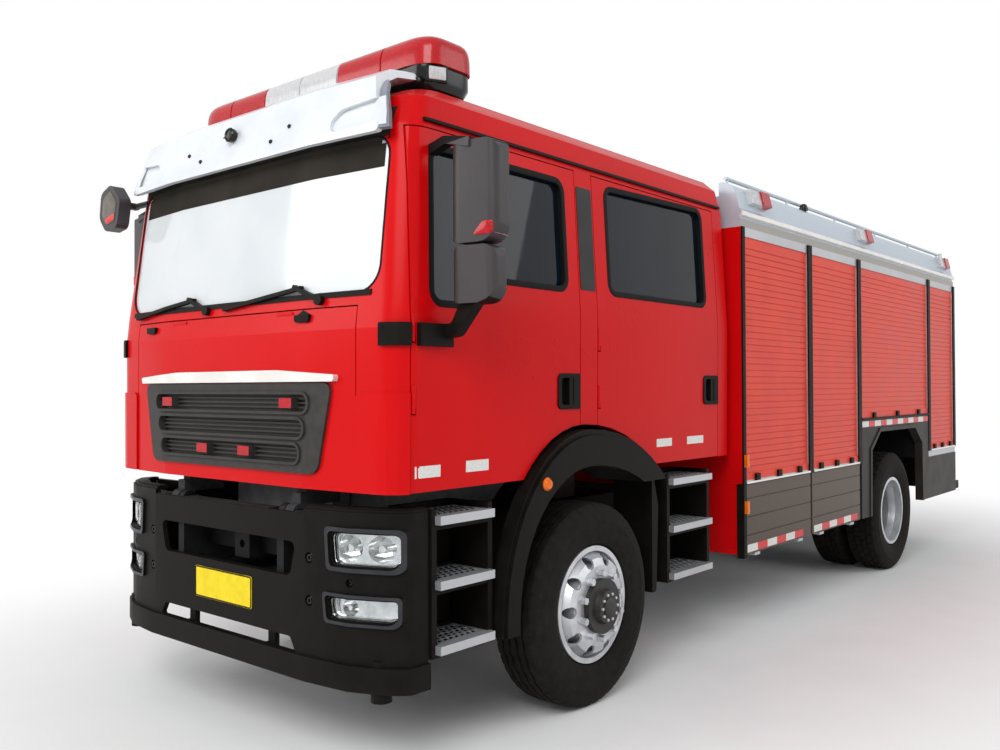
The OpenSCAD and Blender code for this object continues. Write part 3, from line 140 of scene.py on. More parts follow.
ALU = material("aluminium", srgb(182, 184, 187), srgb(190, 192, 195), (0.34, 0.42), 4.0, 0.06, 600.0,
               Metallic=0.6)
CORNICE = material("cornice_blue_silver", srgb(176, 188, 200), srgb(190, 201, 211), (0.3, 0.38), 2.5, 0.04,
                   400.0, (1, 0.05, 1), Metallic=0.3)
BAND = material("cornice_band", srgb(150, 146, 140), srgb(166, 161, 154), (0.34, 0.44), 2.5, 0.06, 400.0,
                (1, 0.05, 1), Metallic=0.4)
FLAP_GREY = material("flap_grey", srgb(82, 70, 60), srgb(90, 77, 67), (0.36, 0.46), 2.0, 0.05, 300.0,
                     (1, 0.1, 1), Metallic=0.2, Specular_IOR_Level=0.2)
ARCH_GREY = material("arch_grey", srgb(42, 37, 33), srgb(48, 43, 39), (0.42, 0.52), 6.0, 0.08, 400.0,
                     Specular_IOR_Level=0.16)
VISOR = material("visor_silver", srgb(212, 217, 222), srgb(224, 228, 232), (0.2, 0.28), 4.0, 0.02, 300.0,
                 Coat_Weight=0.2)
# A darker copy of the visor silver, for the rims of the visor ends: painted shade
VISOR_RIM_SHADE = material("visor_rim_painted_shade", srgb(120, 126, 136), srgb(140, 146, 154), (0.24, 0.32), 4.0, 0.02, 300.0,
                     Coat_Weight=0.1)
BRIGHT = material("bright_trim", srgb(232, 229, 224), srgb(242, 239, 234), (0.2, 0.28), 6.0, 0.02, 400.0,
                  Metallic=0.3)
CHROME = material("reflector_chrome", srgb(214, 215, 214), srgb(236, 236, 234), (0.08, 0.16), 20.0, 0.05,
                  200.0, Metallic=0.75)
LAMP_RED = material("lens_red", srgb(176, 12, 22), srgb(204, 20, 32), (0.12, 0.2), 40.0, 0.3, 60.0, (1, 4, 4),
                    Transmission_Weight=0.15, Specular_IOR_Level=0.3)
LAMP_AMBER = material("lens_amber", srgb(226, 98, 10), srgb(242, 122, 20), (0.12, 0.2), 40.0, 0.3, 120.0,
                      Specular_IOR_Level=0.3)
LAMP_CLEAR = material("lens_clear", srgb(206, 207, 208), srgb(226, 227, 228), (0.08, 0.14), 30.0, 0.2, 80.0,
                      (6, 1, 1), Transmission_Weight=0.2)
LENS = material("lamp_cover", srgb(236, 240, 242), srgb(246, 248, 250), (0.0, 0.03), 10.0,
                Transmission_Weight=1.0, IOR=1.2)
TINT = material("side_glass", srgb(24, 36, 48), srgb(32, 45, 58), (0.01, 0.04), 3.0, Transmission_Weight=0.6,
                IOR=1.3)
SCREEN = material("windscreen_glass", srgb(232, 238, 240), srgb(243, 246, 248), (0.02, 0.06), 2.0,
                  Transmission_Weight=0.25, IOR=1.45)
# Dark brown-grey for the top of the windscreen and the header behind the visor: painted shadow of the visor
PAINTED_SHADE = material("painted_visor_shade", srgb(40, 37, 32), srgb(52, 48, 42), (0.6, 0.7), 4.0, 0.02, 200.0,
                 Specular_IOR_Level=0.05)
MIRROR_GREY = material("mirror_grey", srgb(58, 54, 55), srgb(63, 59, 60), (0.36, 0.42), 6.0, 0.06, 900.0,
                       Specular_IOR_Level=0.25)
MIRROR_GLASS = material("mirror_glass", srgb(150, 156, 160), srgb(170, 175, 178), (0.02, 0.05), 4.0,
                        Metallic=1.0)
KERB_PANE = material("kerb_pane", srgb(96, 88, 80), srgb(132, 124, 112), (0.1, 0.2), 9.0,
                     Specular_IOR_Level=0.3)
TRIM = material("cab_trim", srgb(44, 45, 47), srgb(56, 57, 59), (0.6, 0.75), 30.0, 0.3, 600.0,
                Specular_IOR_Level=0.2)
CLOTH = material("seat_cloth", srgb(44, 47, 54), srgb(62, 66, 74), (0.85, 0.95), 180.0, 0.5, 1500.0,
                 Sheen_Weight=0.3)
IRON = material("engine_grey", srgb(80, 81, 82), srgb(100, 100, 100), (0.5, 0.65), 16.0, 0.4, 120.0)
TAPE_WHITE = material("tape_white", srgb(216, 216, 211), srgb(230, 230, 225), (0.3, 0.4), 90.0, 0.2, 900.0)
TAPE_RED = material("tape_red", srgb(206, 22, 24), srgb(220, 30, 30), (0.3, 0.4), 90.0, 0.2, 900.0)
PLATE = material("plate_yellow", srgb(233, 206, 18), srgb(244, 219, 34), (0.34, 0.44), 20.0, 0.05, 300.0,
                 Specular_IOR_Level=0.2)

LOOKS = {
    "chassis_frame": FRAME, "engine_block": IRON, "front_axle": FRAME, "rear_axle": FRAME,
    "leaf_springs": FRAME, "front_bumper": BLACK, "step_boxes": BLACK, "step_treads": ALU,
    "front_fenders": BLACK, "arch_panels": ARCH_GREY, "body_cornice": CORNICE, "shutter_frames": BLACK,
    "roller_shutters": SHUTTER_RED_GLARE, "tail_step": BLACK, "roof_ladder": ALU, "knuckle_left": FRAME,
    "knuckle_right": FRAME, "cab_floor": TRIM, "windscreen": SCREEN, "sun_visor": VISOR,
    "front_mirror": MIRROR_GREY, "corner_trims": BLACK, "wipers": BLACK, "dashboard": TRIM,
    "seats": CLOTH, "steering_wheel": SEAL, "grille_strip": BRIGHT, "cab_roof": RED, "cab_frame": RED,
    "front_flap": RED, "body_floor": ALU, "body_shell": ALU, "body_lockers": ALU, "wheel_houses": TRIM,
    "grille": DARK, "lamps": CHROME, "light_bar": LAMP_RED,
}
for _, side in SIDES:
    LOOKS |= {f"door_front_{side}": RED, f"door_rear_{side}": RED, f"glass_front_{side}": TINT,
              f"glass_rear_{side}": TINT, f"mirror_{side}": MIRROR_GREY, f"wheel_front_{side}": SILVER,
              f"wheels_rear_{side}": SILVER, f"tyre_front_{side}": RUBBER, f"tyres_rear_{side}": RUBBER,
              f"locker_flap_{side}_front": FLAP_GREY, f"locker_flap_{side}_rear": FLAP_GREY}
for name, look in LOOKS.items():
    nodes[name].data.materials.clear()
    nodes[name].data.materials.append(look)


def bumper_y(x, inset):
    """Front of the bumper at x, drawn in by an inset, from the front axle."""
    d = CAB_HALF - 0.008 - inset - abs(x)
    bends = ((0.5, 0.0), (0.246, 0.030), (0.078, 0.100), (0.0, 0.165))
    for (a, low), (b, high) in zip(bends, bends[1:]):
        if b <= d < a:
            return FRONT + inset + low + (high - low) * (a - d) / (a - b)
    return FRONT + inset if d > 0 else FRONT + inset + 0.165


def repaint(name, look, test, steepest=2.0):
    """Gives another material to a node's faces whose corners, from the front axle, all pass the test.

    Only faces that look along X no more than the given share are taken.
    """
    mesh = nodes[name].data
    mesh.materials.append(look)
    slot = len(mesh.materials) - 1
    corners = [v.co - Vector((0, AXLE_Y, 0)) for v in mesh.vertices]
    for face in mesh.polygons:
        if abs(face.normal.x) < steepest and all(test(*corners[i]) for i in face.vertices):
            face.material_index = slot


def between(low, high, slack=0.0015):
    """A test for points in a box, on both sides of the truck."""
    def test(x, y, z):
        return all(a - slack <= c <= b + slack for a, c, b in zip(low, (abs(x), y, z), high))
    return test


repaint("body_shell", RED, lambda x, y, z: y < BODY_FRONT + 0.002)
for node in ("body_floor", "body_lockers"):
    repaint(node, RED, lambda x, y, z: y < BODY_FRONT + 0.031)
for node in ("body_floor", "body_shell", "body_lockers"):
    repaint(node, FRAME, lambda x, y, z: abs(y - WHEELBASE) < 1.0 and z < ARCH_TOP + 0.05)
repaint("cab_roof", BLACK, between((0.9, -1.3, ROOF_Z + 0.004), (OUTSIDE, 1.6, ROOF_Z + 0.018)))
for _, side in SIDES:
    for end, (first, last) in HANDLES.items():
        repaint(f"door_{end}_{side}", BLACK, between((1.05, first, HANDLE_Z[0]), (OUTSIDE, last, HANDLE_Z[1])))
    for end, (lowest, highest) in REVEALS.items():
        repaint(f"door_{end}_{side}", SEAL, between((0.9, *lowest), (OUTSIDE, *highest)), 0.5)
    for node in (f"wheel_front_{side}", f"wheels_rear_{side}"):
        middle = 0.0 if "front" in node else WHEELBASE
        repaint(node, HUB, lambda x, y, z: math.hypot(y - middle, z - AXLE_Z) < 0.1405 or abs(x) < 0.95)
for x, z in ((0.495, BELT_Z - 0.425), (0.175, BELT_Z - 0.649)):
    repaint("grille", LAMP_RED, between((x - 0.046, -2, z - 0.023), (x + 0.046, FRONT + 0.03, z + 0.023)))
repaint("lamps", LAMP_AMBER, between((BODY_HALF, 1.5, 0.7), (OUTSIDE, 1.7, 1.3)))
repaint("lamps", LAMP_RED, between((1.0, 6.0, 1.0), (OUTSIDE, BEHIND, 1.5)))
repaint("lamps", LAMP_CLEAR, lambda x, y, z: z > 2.5)
for y in (BODY_FRONT + 0.290, WHEELBASE - 0.760, BODY_REAR - 0.320):
    repaint("lamps", LAMP_RED, between((1, y + 0.008, 2.6), (OUTSIDE, y + 0.145, 3.1)))
for _, side in SIDES:
    repaint(f"mirror_{side}", BLACK, lambda x, y, z: z > 2.64 or z < 2.015 or abs(x) < 1.212)
for x in (-0.725, 0.576):
    repaint("front_flap", BLACK, lambda u, y, z: abs(u - x) < 0.06 and y < FRONT + 0.09 and z > BELT_Z - 0.09)
repaint("shutter_frames", BRIGHT, between((BODY_HALF - 0.01, 1, DECK_Z), (OUTSIDE, BEHIND, DECK_Z + 0.013)))
repaint("body_cornice", BAND, between((BODY_HALF - 0.02, 1, 2.6), (OUTSIDE, BEHIND, 2.734)))
repaint("body_cornice", BRIGHT, between((BODY_HALF - 0.02, 1, 2.744), (OUTSIDE, BEHIND, 2.782)))
for _, _, low in STEPS:
    for height in (low, low + STEP_RISE, low + 2 * STEP_RISE):
        repaint("step_treads", SEAL, lambda x, y, z: abs(z - height - 0.008) < 0.001)
repaint("front_bumper", BEZEL, lambda x, y, z: abs(x) > 0.73 and y < bumper_y(x, 0.0135) and z > 0.63)


def shading():
    """A modifier group that joins facets meeting at less than 28 degrees into smooth shading."""
    tree = bpy.data.node_groups.new("smooth_facets", "GeometryNodeTree")
    tree.interface.new_socket("Geometry", in_out="INPUT", socket_type="NodeSocketGeometry")
    tree.interface.new_socket("Geometry", in_out="OUTPUT", socket_type="NodeSocketGeometry")
    source, out = tree.nodes.new("NodeGroupInput"), tree.nodes.new("NodeGroupOutput")
    weld = tree.nodes.new("GeometryNodeMergeByDistance")
    weld.inputs["Distance"].default_value = 0.00002
    soft = tree.nodes.new("GeometryNodeSetShadeSmooth")
    hard = tree.nodes.new("GeometryNodeSetShadeSmooth")
    hard.domain = "EDGE"
    hard.inputs["Shade Smooth"].default_value = False
    bend = tree.nodes.new("GeometryNodeInputMeshEdgeAngle")
    over = tree.nodes.new("FunctionNodeCompare")
    over.inputs["B"].default_value = math.radians(28)
    tree.links.new(source.outputs[0], weld.inputs["Geometry"])
    tree.links.new(weld.outputs["Geometry"], soft.inputs["Geometry"])
    tree.links.new(soft.outputs["Geometry"], hard.inputs["Geometry"])
    tree.links.new(bend.outputs["Unsigned Angle"], over.inputs["A"])
    tree.links.new(over.outputs["Result"], hard.inputs["Selection"])
    tree.links.new(hard.outputs["Geometry"], out.inputs[0])
    return tree


SMOOTH = shading()
for name in ("cab_frame", "cab_roof", "front_flap", "sun_visor", "front_mirror", "mirror_left",
             "mirror_right", "front_bumper", "front_fenders", "grille", "grille_strip", "corner_trims",
             "lamps", "door_front_left", "door_front_right", "door_rear_left", "door_rear_right",
             "body_cornice"):
    nodes[name].modifiers.new("smooth", "NODES").node_group = SMOOTH
    nodes[name].modifiers.new("weights", "WEIGHTED_NORMAL").keep_sharp = True


# Shapes


def rounded(points, steps=5):
    """Outline of a polygon whose corners (u, v, radius) are rounded."""
    out = []
    for i, (u, v, r) in enumerate(points):
        p = Vector((u, v))
        if r == 0:
            out.append(p)
            continue
        a = (Vector(points[i - 1][:2]) - p).normalized()
        b = (Vector(points[(i + 1) % len(points)][:2]) - p).normalized()
        half = math.acos(max(-1, min(1, a.dot(b)))) / 2
        middle = p + (a + b).normalized() * r / math.sin(half)
        start = p + a * r / math.tan(half) - middle
        end = p + b * r / math.tan(half) - middle
        sweep_angle = start.angle_signed(end)
        for k in range(steps + 1):
            turn = Matrix.Rotation(-sweep_angle * k / steps, 2)
            out.append(middle + turn @ start)
    return out


def rectangle(u0, v0, u1, v1, r=0.0, steps=4):
    """Outline of a rectangle with round corners."""
    return rounded([(u0, v0, r), (u1, v0, r), (u1, v1, r), (u0, v1, r)], steps)


def split(outline, step):
    """The outline with its long edges divided."""
    out = []
    for i, p in enumerate(outline):
        q = outline[(i + 1) % len(outline)]
        n = max(1, math.ceil((q - p).length / step))
        out += [p.lerp(q, k / n) for k in range(n)]
    return out


class Skin:
    """Outer surface of some CAD nodes, found by looking at it from outside."""

    def __init__(self, *names):
        points, faces = [], []
        for name in names:
            mesh = nodes[name].data
            base = len(points)
            points += [v.co.copy() for v in mesh.vertices]
            faces += [[base + i for i in p.vertices] for p in mesh.polygons]
        self.tree = BVHTree.FromPolygons(points, faces)

    def hit(self, start, way):
        """The first point met from start, or else one near by, and its normal turned to the looker."""
        spot, normal = self.tree.ray_cast(start, way)[:2]
        if spot is None:
            spot, normal = self.tree.find_nearest(start + way * 4)[:2]
        return spot, normal if normal.dot(way) < 0 else -normal

    def side(self, s):
        """Places (y, z) on the surface as seen from a side."""
        return lambda y, z: self.hit(at(s * 5, y, z), Vector((-s, 0, 0)))

    def front(self):
        """Places (x, z) on the surface as seen from the front."""
        return lambda x, z: self.hit(at(x, -5, z), Vector((0, 1, 0)))


def flat(origin, along, up):
    """A plane through origin, with its own two directions."""
    origin, along, up = Vector(origin), Vector(along).normalized(), Vector(up).normalized()
    normal = along.cross(up)
    return lambda u, v: (origin + along * u + up * v, normal)


def piece(name, bm, look, body, slot=None, smooth=35):
    """Makes a mesh object that rides on a body."""
    bmesh.ops.recalc_face_normals(bm, faces=bm.faces)
    mesh = bpy.data.meshes.new(name)
    bm.to_mesh(mesh)
    bm.free()
    obj = bpy.data.objects.new(name, mesh)
    bpy.context.scene.collection.objects.link(obj)
    for one in look if isinstance(look, (list, tuple)) else [look]:
        mesh.materials.append(one)
    if smooth:
        mesh.shade_smooth()
        mesh.set_sharp_from_angle(angle=math.radians(smooth))
    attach(obj, body)
    return obj


def add_shell(bm, outline, place, thick=0.003, lift=0.0, crown=0.0, rings=4, sink=0.002, index=0):
    """Adds a closed shell over a convex outline.

    place(u, v) gives a point and a normal of what carries it.
    """
    centre = sum(outline, Vector((0, 0))) / len(outline)
    top, low = [], []
    for k in range(rings + 1):
        s = k / rings
        for p in outline if k else [centre]:
            uv = centre + (p - centre) * s
            spot, normal = place(*uv)
            rise = lift + thick + crown * (1 - s * s)
            top.append(bm.verts.new(spot + normal * rise))
            low.append(bm.verts.new(spot + normal * (lift - sink)))
    n = len(outline)
    made = []
    for layer, flip in ((top, False), (low, True)):
        for i in range(n):
            j = (i + 1) % n
            rows = [(layer[0], layer[1 + i], layer[1 + j])]
            for k in range(1, rings):
                a, b = 1 + (k - 1) * n, 1 + k * n
                rows.append((layer[a + i], layer[b + i], layer[b + j], layer[a + j]))
            for row in rows:
                made.append(bm.faces.new(row[::-1] if flip else row))
    edge = 1 + (rings - 1) * n
    for i in range(n):
        j = (i + 1) % n
        made.append(bm.faces.new((top[edge + i], low[edge + i], low[edge + j], top[edge + j])))
    for face in made:
        face.material_index = index


def add_grid(bm, us, vs, place, thick=0.003, lift=0.0, sink=0.002, index=0):
    """Adds a closed sheet over rows of u and v, on what place(u, v) gives."""
    layers = []
    for rise in (lift + thick, lift - sink):
        layers.append([[bm.verts.new(spot + normal * rise) for spot, normal in (place(u, v) for v in vs)]
                       for u in us])
    top, low = layers
    m, n = len(us) - 1, len(vs) - 1
    made = []
    for layer in layers:
        made += [bm.faces.new((layer[i][j], layer[i + 1][j], layer[i + 1][j + 1], layer[i][j + 1]))
                 for i in range(m) for j in range(n)]
    for i in range(m):
        made += [bm.faces.new((top[i][j], low[i][j], low[i + 1][j], top[i + 1][j])) for j in (0, n)]
    for j in range(n):
        made += [bm.faces.new((top[i][j], low[i][j], low[i][j + 1], top[i][j + 1])) for i in (0, m)]
    for face in made:
        face.material_index = index


def spaced(a, b, n):
    """n + 1 numbers from a to b."""
    return [a + (b - a) * k / n for k in range(n + 1)]


def add_sweep(bm, path, profile, ups, closed=False, index=0):
    """Adds a bar with a (side, up) profile along a path."""
    rings, n = [], len(path)
    for i, p in enumerate(path):
        a = path[i - 1] if closed or i else p
        b = path[(i + 1) % n] if closed or i + 1 < n else p
        along = (b - a).normalized()
        side = along.cross(ups[i]).normalized()
        up = side.cross(along)
        rings.append([bm.verts.new(p + side * u + up * v) for u, v in profile])
    m = len(profile)
    made = []
    for i in range(n if closed else n - 1):
        a, b = rings[i], rings[(i + 1) % n]
        for k in range(m):
            made.append(bm.faces.new((a[k], a[(k + 1) % m], b[(k + 1) % m], b[k])))
    if not closed:
        made += [bm.faces.new(rings[0][::-1]), bm.faces.new(rings[-1])]
    for face in made:
        face.material_index = index


def round_bar(r, n=10):
    """Profile of a round bar."""
    return [(r * math.cos(2 * math.pi * k / n), r * math.sin(2 * math.pi * k / n)) for k in range(n)]


def add_ring(bm, outline, place, width, height, lift=0.0, index=0):
    """Adds a half-round frame along a closed outline."""
    found = [place(*p) for p in outline]
    half, foot = width / 2, -0.003
    profile = [(-half, foot), (-half, height * 0.5), (-half / 2, height), (half / 2, height),
               (half, height * 0.5), (half, foot)]
    add_sweep(bm, [p + n * lift for p, n in found], profile, [n for p, n in found], True, index)


def add_lathe(bm, centre, axis, profile, steps=32, index=0):
    """Adds a turned shape; profile holds (radius, height along axis) and starts and ends on the axis."""
    axis = Vector(axis).normalized()
    side = axis.orthogonal().normalized()
    other = axis.cross(side)
    rings = []
    for r, h in profile:
        if r < 1e-6:
            rings.append([bm.verts.new(Vector(centre) + axis * h)])
        else:
            middle = Vector(centre) + axis * h
            turns = (2 * math.pi * k / steps for k in range(steps))
            rings.append([bm.verts.new(middle + (side * math.cos(t) + other * math.sin(t)) * r) for t in turns])
    for a, b in zip(rings, rings[1:]):
        for k in range(steps):
            j = (k + 1) % steps
            face = [a[0] if len(a) == 1 else a[k], a[0] if len(a) == 1 else a[j],
                    b[0] if len(b) == 1 else b[j], b[0] if len(b) == 1 else b[k]]
            kept = [v for i, v in enumerate(face) if v is not face[i - 1]]
            bm.faces.new(kept).material_index = index


def add_block(bm, low, high, bevel=0.004, index=0, turn=None):
    """Adds a block with rounded edges between two corners."""
    low, high = Vector(low), Vector(high)
    before, faces = set(bm.verts), set(bm.faces)
    made = bmesh.ops.create_cube(bm, size=1.0)["verts"]
    middle, size = (low + high) / 2, high - low
    for v in made:
        v.co = Vector(a * abs(b) for a, b in zip(v.co, size))
    edges = list({e for v in made for e in v.link_edges})
    bmesh.ops.bevel(bm, geom=edges, offset=bevel, segments=2, profile=0.6, affect="EDGES")
    for v in set(bm.verts) - before:
        v.co = (turn @ v.co if turn else v.co) + middle
    for face in set(bm.faces) - faces:
        face.material_index = index


# Windows and pillars


FRONT_WINDOW = rounded([(-1.16, 2.01, 0.05), (-0.985, 2.01, 0.12), (-0.76, 2.14, 0.12), (-0.205, 2.14, 0.05),
                        (-0.205, 2.67, 0.05), (-1.125, 2.67, 0.06)], 6)
REAR_WINDOW = rounded([(0.2, 2.15, 0.05), (1.24, 2.15, 0.05), (1.24, 2.725, 0.05), (0.2, 2.70, 0.05)], 6)


def grown(outline, by):
    """The outline moved outwards."""
    out, n = [], len(outline)
    for i, p in enumerate(outline):
        way = (outline[(i + 1) % n] - outline[i - 1]).normalized()
        out.append(p + Vector((way.y, -way.x)) * by)
    return out


for s, side in SIDES:
    for end, outline in (("front", FRONT_WINDOW), ("rear", REAR_WINDOW)):
        skin = Skin(f"door_{end}_{side}").side(s)
        bm = bmesh.new()
        add_ring(bm, grown(split(outline, 0.1), 0.010), skin, 0.030, 0.004)
        piece(f"window_seal_{end}_{side}", bm, SEAL, f"{end}_door_{side}", "black_plastic")
    skin = Skin("cab_frame").side(s)
    bm = bmesh.new()
    add_shell(bm, split(rectangle(-0.078, 2.14, 0.053, 2.675, 0.008), 0.1), skin, 0.003)
    piece(f"pillar_insert_{side}", bm, GLOSS_BLACK, "cab", "black_plastic")

SCREEN_LINE = rounded([(-1.010, 2.05, 0.11), (1.010, 2.05, 0.11), (1.0, 2.72, 0.09), (-1.0, 2.72, 0.09)], 6)
bm = bmesh.new()
frame_skin = Skin("cab_frame", "cab_roof").front()
add_ring(bm, grown(split(SCREEN_LINE, 0.08), 0.003), frame_skin, 0.010, 0.003)
piece("screen_seal", bm, SEAL, "cab", "black_plastic")
# A dark band on the top of the windscreen, under the visor: painted shadow of the visor
bm = bmesh.new()
glass = Skin("windscreen").front()
add_grid(bm, spaced(-0.972, 0.972, 60), spaced(2.585, 2.708, 5), glass, 0.002, sink=0.001)
piece("painted_shade_band", bm, PAINTED_SHADE, "cab", "glass_clear")
# A dark sheet on the cab header behind the visor: painted shadow of the visor
bm = bmesh.new()
header = Skin("cab_frame", "cab_roof", "windscreen").front()
add_grid(bm, spaced(-0.995, 0.995, 60), spaced(2.702, 2.850, 7), header, 0.003)
piece("visor_shadow_panel", bm, PAINTED_SHADE, "cab", "black_plastic")

# Ends of the visor, which go on round the corners of the cab
corner = Skin("cab_frame", "cab_roof")


def cab_corner(s):
    """Places on the cab's front corner, given by a bearing and a height."""
    def place(turn, z):
        way = Vector((s * math.sin(turn), -math.cos(turn), 0))
        middle = at(s * (CAB_HALF - 0.21), FRONT + 0.26, z)
        return corner.hit(middle + way * 2, -way)
    return place


for s, side in SIDES:
    place = cab_corner(s)
    bm = bmesh.new()
    # The thick block takes the darker silver, which shows round the thin silver plate on its front as painted
    # shade on the rim
    add_grid(bm, spaced(0.36, 0.98, 14), spaced(2.722, 2.905, 10), place, 0.026, 0.047, 0.0)
    add_grid(bm, spaced(0.34, 0.90, 14), spaced(2.735, 2.850, 6), place, 0.004, 0.072, 0.0, 1)
    piece(f"visor_end_{side}", bm, [VISOR_RIM_SHADE, VISOR], "cab", "visor_white")


# Lamps


def bumper_face(inset):
    """Places (x, z) on the bumper's front, drawn in by an inset."""
    def place(x, z):
        slope = (bumper_y(abs(x) + 0.004, inset) - bumper_y(abs(x) - 0.004, inset)) / 0.008
        return at(x, bumper_y(x, inset), z), Vector((math.copysign(slope, x), -1, 0)).normalized()
    return place


for s, side in SIDES:
    bm = bmesh.new()
    head = rounded([(s * 0.783, 1.022, 0.02), (s * 1.078, 1.022, 0.028), (s * 1.078, 0.898, 0.036),
                    (s * 0.795, 0.898, 0.022)], 4)
    fog = rounded([(s * 0.767, 0.747, 0.014), (s * 1.070, 0.747, 0.018), (s * 1.070, 0.670, 0.032),
                   (s * 0.780, 0.670, 0.018)], 4)
    add_shell(bm, split(head, 0.04), bumper_face(0.026), 0.003, crown=0.006, rings=5)
    add_shell(bm, split(fog, 0.04), bumper_face(0.028), 0.003, crown=0.004, rings=4)
    piece(f"lamp_covers_{side}", bm, LENS, "chassis", "lamp_clear")

PLATE_HALF = 0.235
bm = bmesh.new()
plate_face = bumper_face(0.014)
add_shell(bm, split(rectangle(-PLATE_HALF, 0.62, PLATE_HALF, 0.77, 0.012), 0.06), plate_face, 0.004, rings=3)
add_ring(bm, split(rectangle(-0.231, 0.624, 0.231, 0.766, 0.01), 0.05), plate_face, 0.008, 0.006, 0.0, 1)
piece("blank_plate", bm, [PLATE, BLACK], "chassis", "black_plastic")

for s, side in SIDES:
    bm = bmesh.new()
    add_lathe(bm, at(s * 1.190, -0.441, 1.178), (s, 0, 0),
              [(0, -0.004), (0.032, -0.004), (0.032, 0.006), (0.026, 0.012), (0.022, 0.018), (0, 0.021)], 24)
    piece(f"flare_marker_{side}", bm, LAMP_AMBER, "chassis", "lamp_clear")


# Fittings


def stud(r, h):
    """Profile of a low round button."""
    return [(0, -0.002), (r, -0.002), (r, h * 0.6), (r * 0.8, h), (0, h)]


bm = bmesh.new()
for s, _ in SIDES:
    for x, z, r in ((0.650, 0.905, 0.022), (0.650, 0.720, 0.022), (0.880, 0.820, 0.015)):
        add_lathe(bm, at(s * x, bumper_y(x, 0.028), z), (0, -1, 0),
                  [(0, -0.003), (r, -0.003), (r, 0.005), (r * 0.7, 0.009), (r * 0.7, 0.014), (r * 0.4, 0.014),
                   (r * 0.36, 0.006), (0, 0.006)], 24)
piece("bumper_bolts", bm, GLOSS_BLACK, "chassis", "black_plastic")

bm = bmesh.new()
for x in spaced(-0.6, 0.6, 51):
    if abs(abs(x) - 0.45) > 0.09:
        add_block(bm, at(x - 0.005, -1.428, 1.094), at(x + 0.005, -1.368, 1.099), 0.0015)
piece("bumper_tread", bm, DARK, "chassis", "black_plastic")

# Light bar: a dome with round ends in five sections, over a dark base on two feet
BAR_Y, BAR_HALF, BAR_LOW, BAR_HIGH = -0.810, 0.940, 3.130, 3.285
BAR_END, BAR_DEEP = 0.19, 0.175  # length of a round end, half depth
BAR_JOINTS = (-0.62, -0.30, 0.0, 0.30, 0.62)
BAR_CELLS = 24


def bar_line(x, inset=0.0):
    """Half depth and height of the dome at x."""
    reach = max(0.0, (abs(x) - BAR_HALF + BAR_END) / BAR_END)
    end = max(0.0, 1 - reach ** 2.6) ** (1 / 2.6)
    return BAR_DEEP * (0.36 + 0.64 * end) - inset, (BAR_HIGH - BAR_LOW) * (0.50 + 0.50 * end ** 0.7) - inset


bm = bmesh.new()
stations = {round(v, 4) for v in spaced(-0.74, 0.74, 37)}
stations |= {round(g + d, 4) for g in BAR_JOINTS for d in (-0.005, -0.003, 0.003, 0.005)}
stations |= {round(s * (BAR_HALF - BAR_END + BAR_END * math.sin(k * math.pi / 24)), 4)
             for s, _ in SIDES for k in range(13)}
stations = sorted(stations)
rings = []
for x in stations:
    groove = 0.006 if min(abs(x - g) for g in BAR_JOINTS) < 0.004 else 0.0
    deep, tall = bar_line(x, groove)
    ring = []
    for k in range(BAR_CELLS + 1):
        t = math.pi * k / BAR_CELLS
        u, v = -math.cos(t), math.sin(t)
        y = BAR_Y + deep * math.copysign(abs(u) ** 0.42, u)
        ring.append(bm.verts.new(at(x, y, BAR_LOW + tall * v ** 0.55)))
    rings.append(ring)
for x, a, b in zip(stations, rings, rings[1:]):
    clear = BAR_JOINTS[1] <= x < BAR_JOINTS[3]
    for k in range(BAR_CELLS):
        bm.faces.new((a[k], a[k + 1], b[k + 1], b[k])).material_index = 1 if clear else 0
    bm.faces.new((a[0], b[0], b[-1], a[-1]))
bm.faces.new(rings[0])
bm.faces.new(rings[-1][::-1])
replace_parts(piece("light_bar_dome", bm, [LAMP_RED, LAMP_CLEAR], "cab", "lamp_red", 50), "light_bar")
bm = bmesh.new()
base = split(rectangle(-0.925, -0.165, 0.925, 0.165, 0.09, 7), 0.2)
rows = [[bm.verts.new(at(p.x * (0.985 if low else 1), BAR_Y + p.y * (0.86 if low else 1), z)) for p in base]
        for low, z in ((True, 3.020), (False, 3.060), (False, 3.129))]
for a, b in zip(rows, rows[1:]):
    for k in range(len(base)):
        j = (k + 1) % len(base)
        bm.faces.new((a[k], a[j], b[j], b[k]))
bm.faces.new(rows[0][::-1])
bm.faces.new(rows[-1])
for x in (-0.7, 0.7):
    add_block(bm, at(x - 0.06, BAR_Y - 0.06, 3.0003), at(x + 0.06, BAR_Y + 0.06, 3.030), 0.004)
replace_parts(piece("light_bar_base", bm, GLOSS_BLACK, "cab", "black_plastic"), "light_bar")

END_CASE, END_LENS = Vector((0.010, 0.052, 0.040)), Vector((0.008, 0.042, 0.030))  # half sizes
bm = bmesh.new()
for s, _ in SIDES:
    turn = Matrix.Rotation(math.radians(-25 * s), 3, "Z")
    spot = at(s * 0.916, -0.905, 3.088)
    add_block(bm, spot - END_CASE, spot + END_CASE, 0.006, 1, turn)
    spot += turn @ Vector((s * 0.008, 0, 0))
    add_block(bm, spot - END_LENS, spot + END_LENS, 0.005, 0, turn)
piece("bar_end_lamps", bm, [LAMP_CLEAR, GLOSS_BLACK], "cab", "lamp_clear")

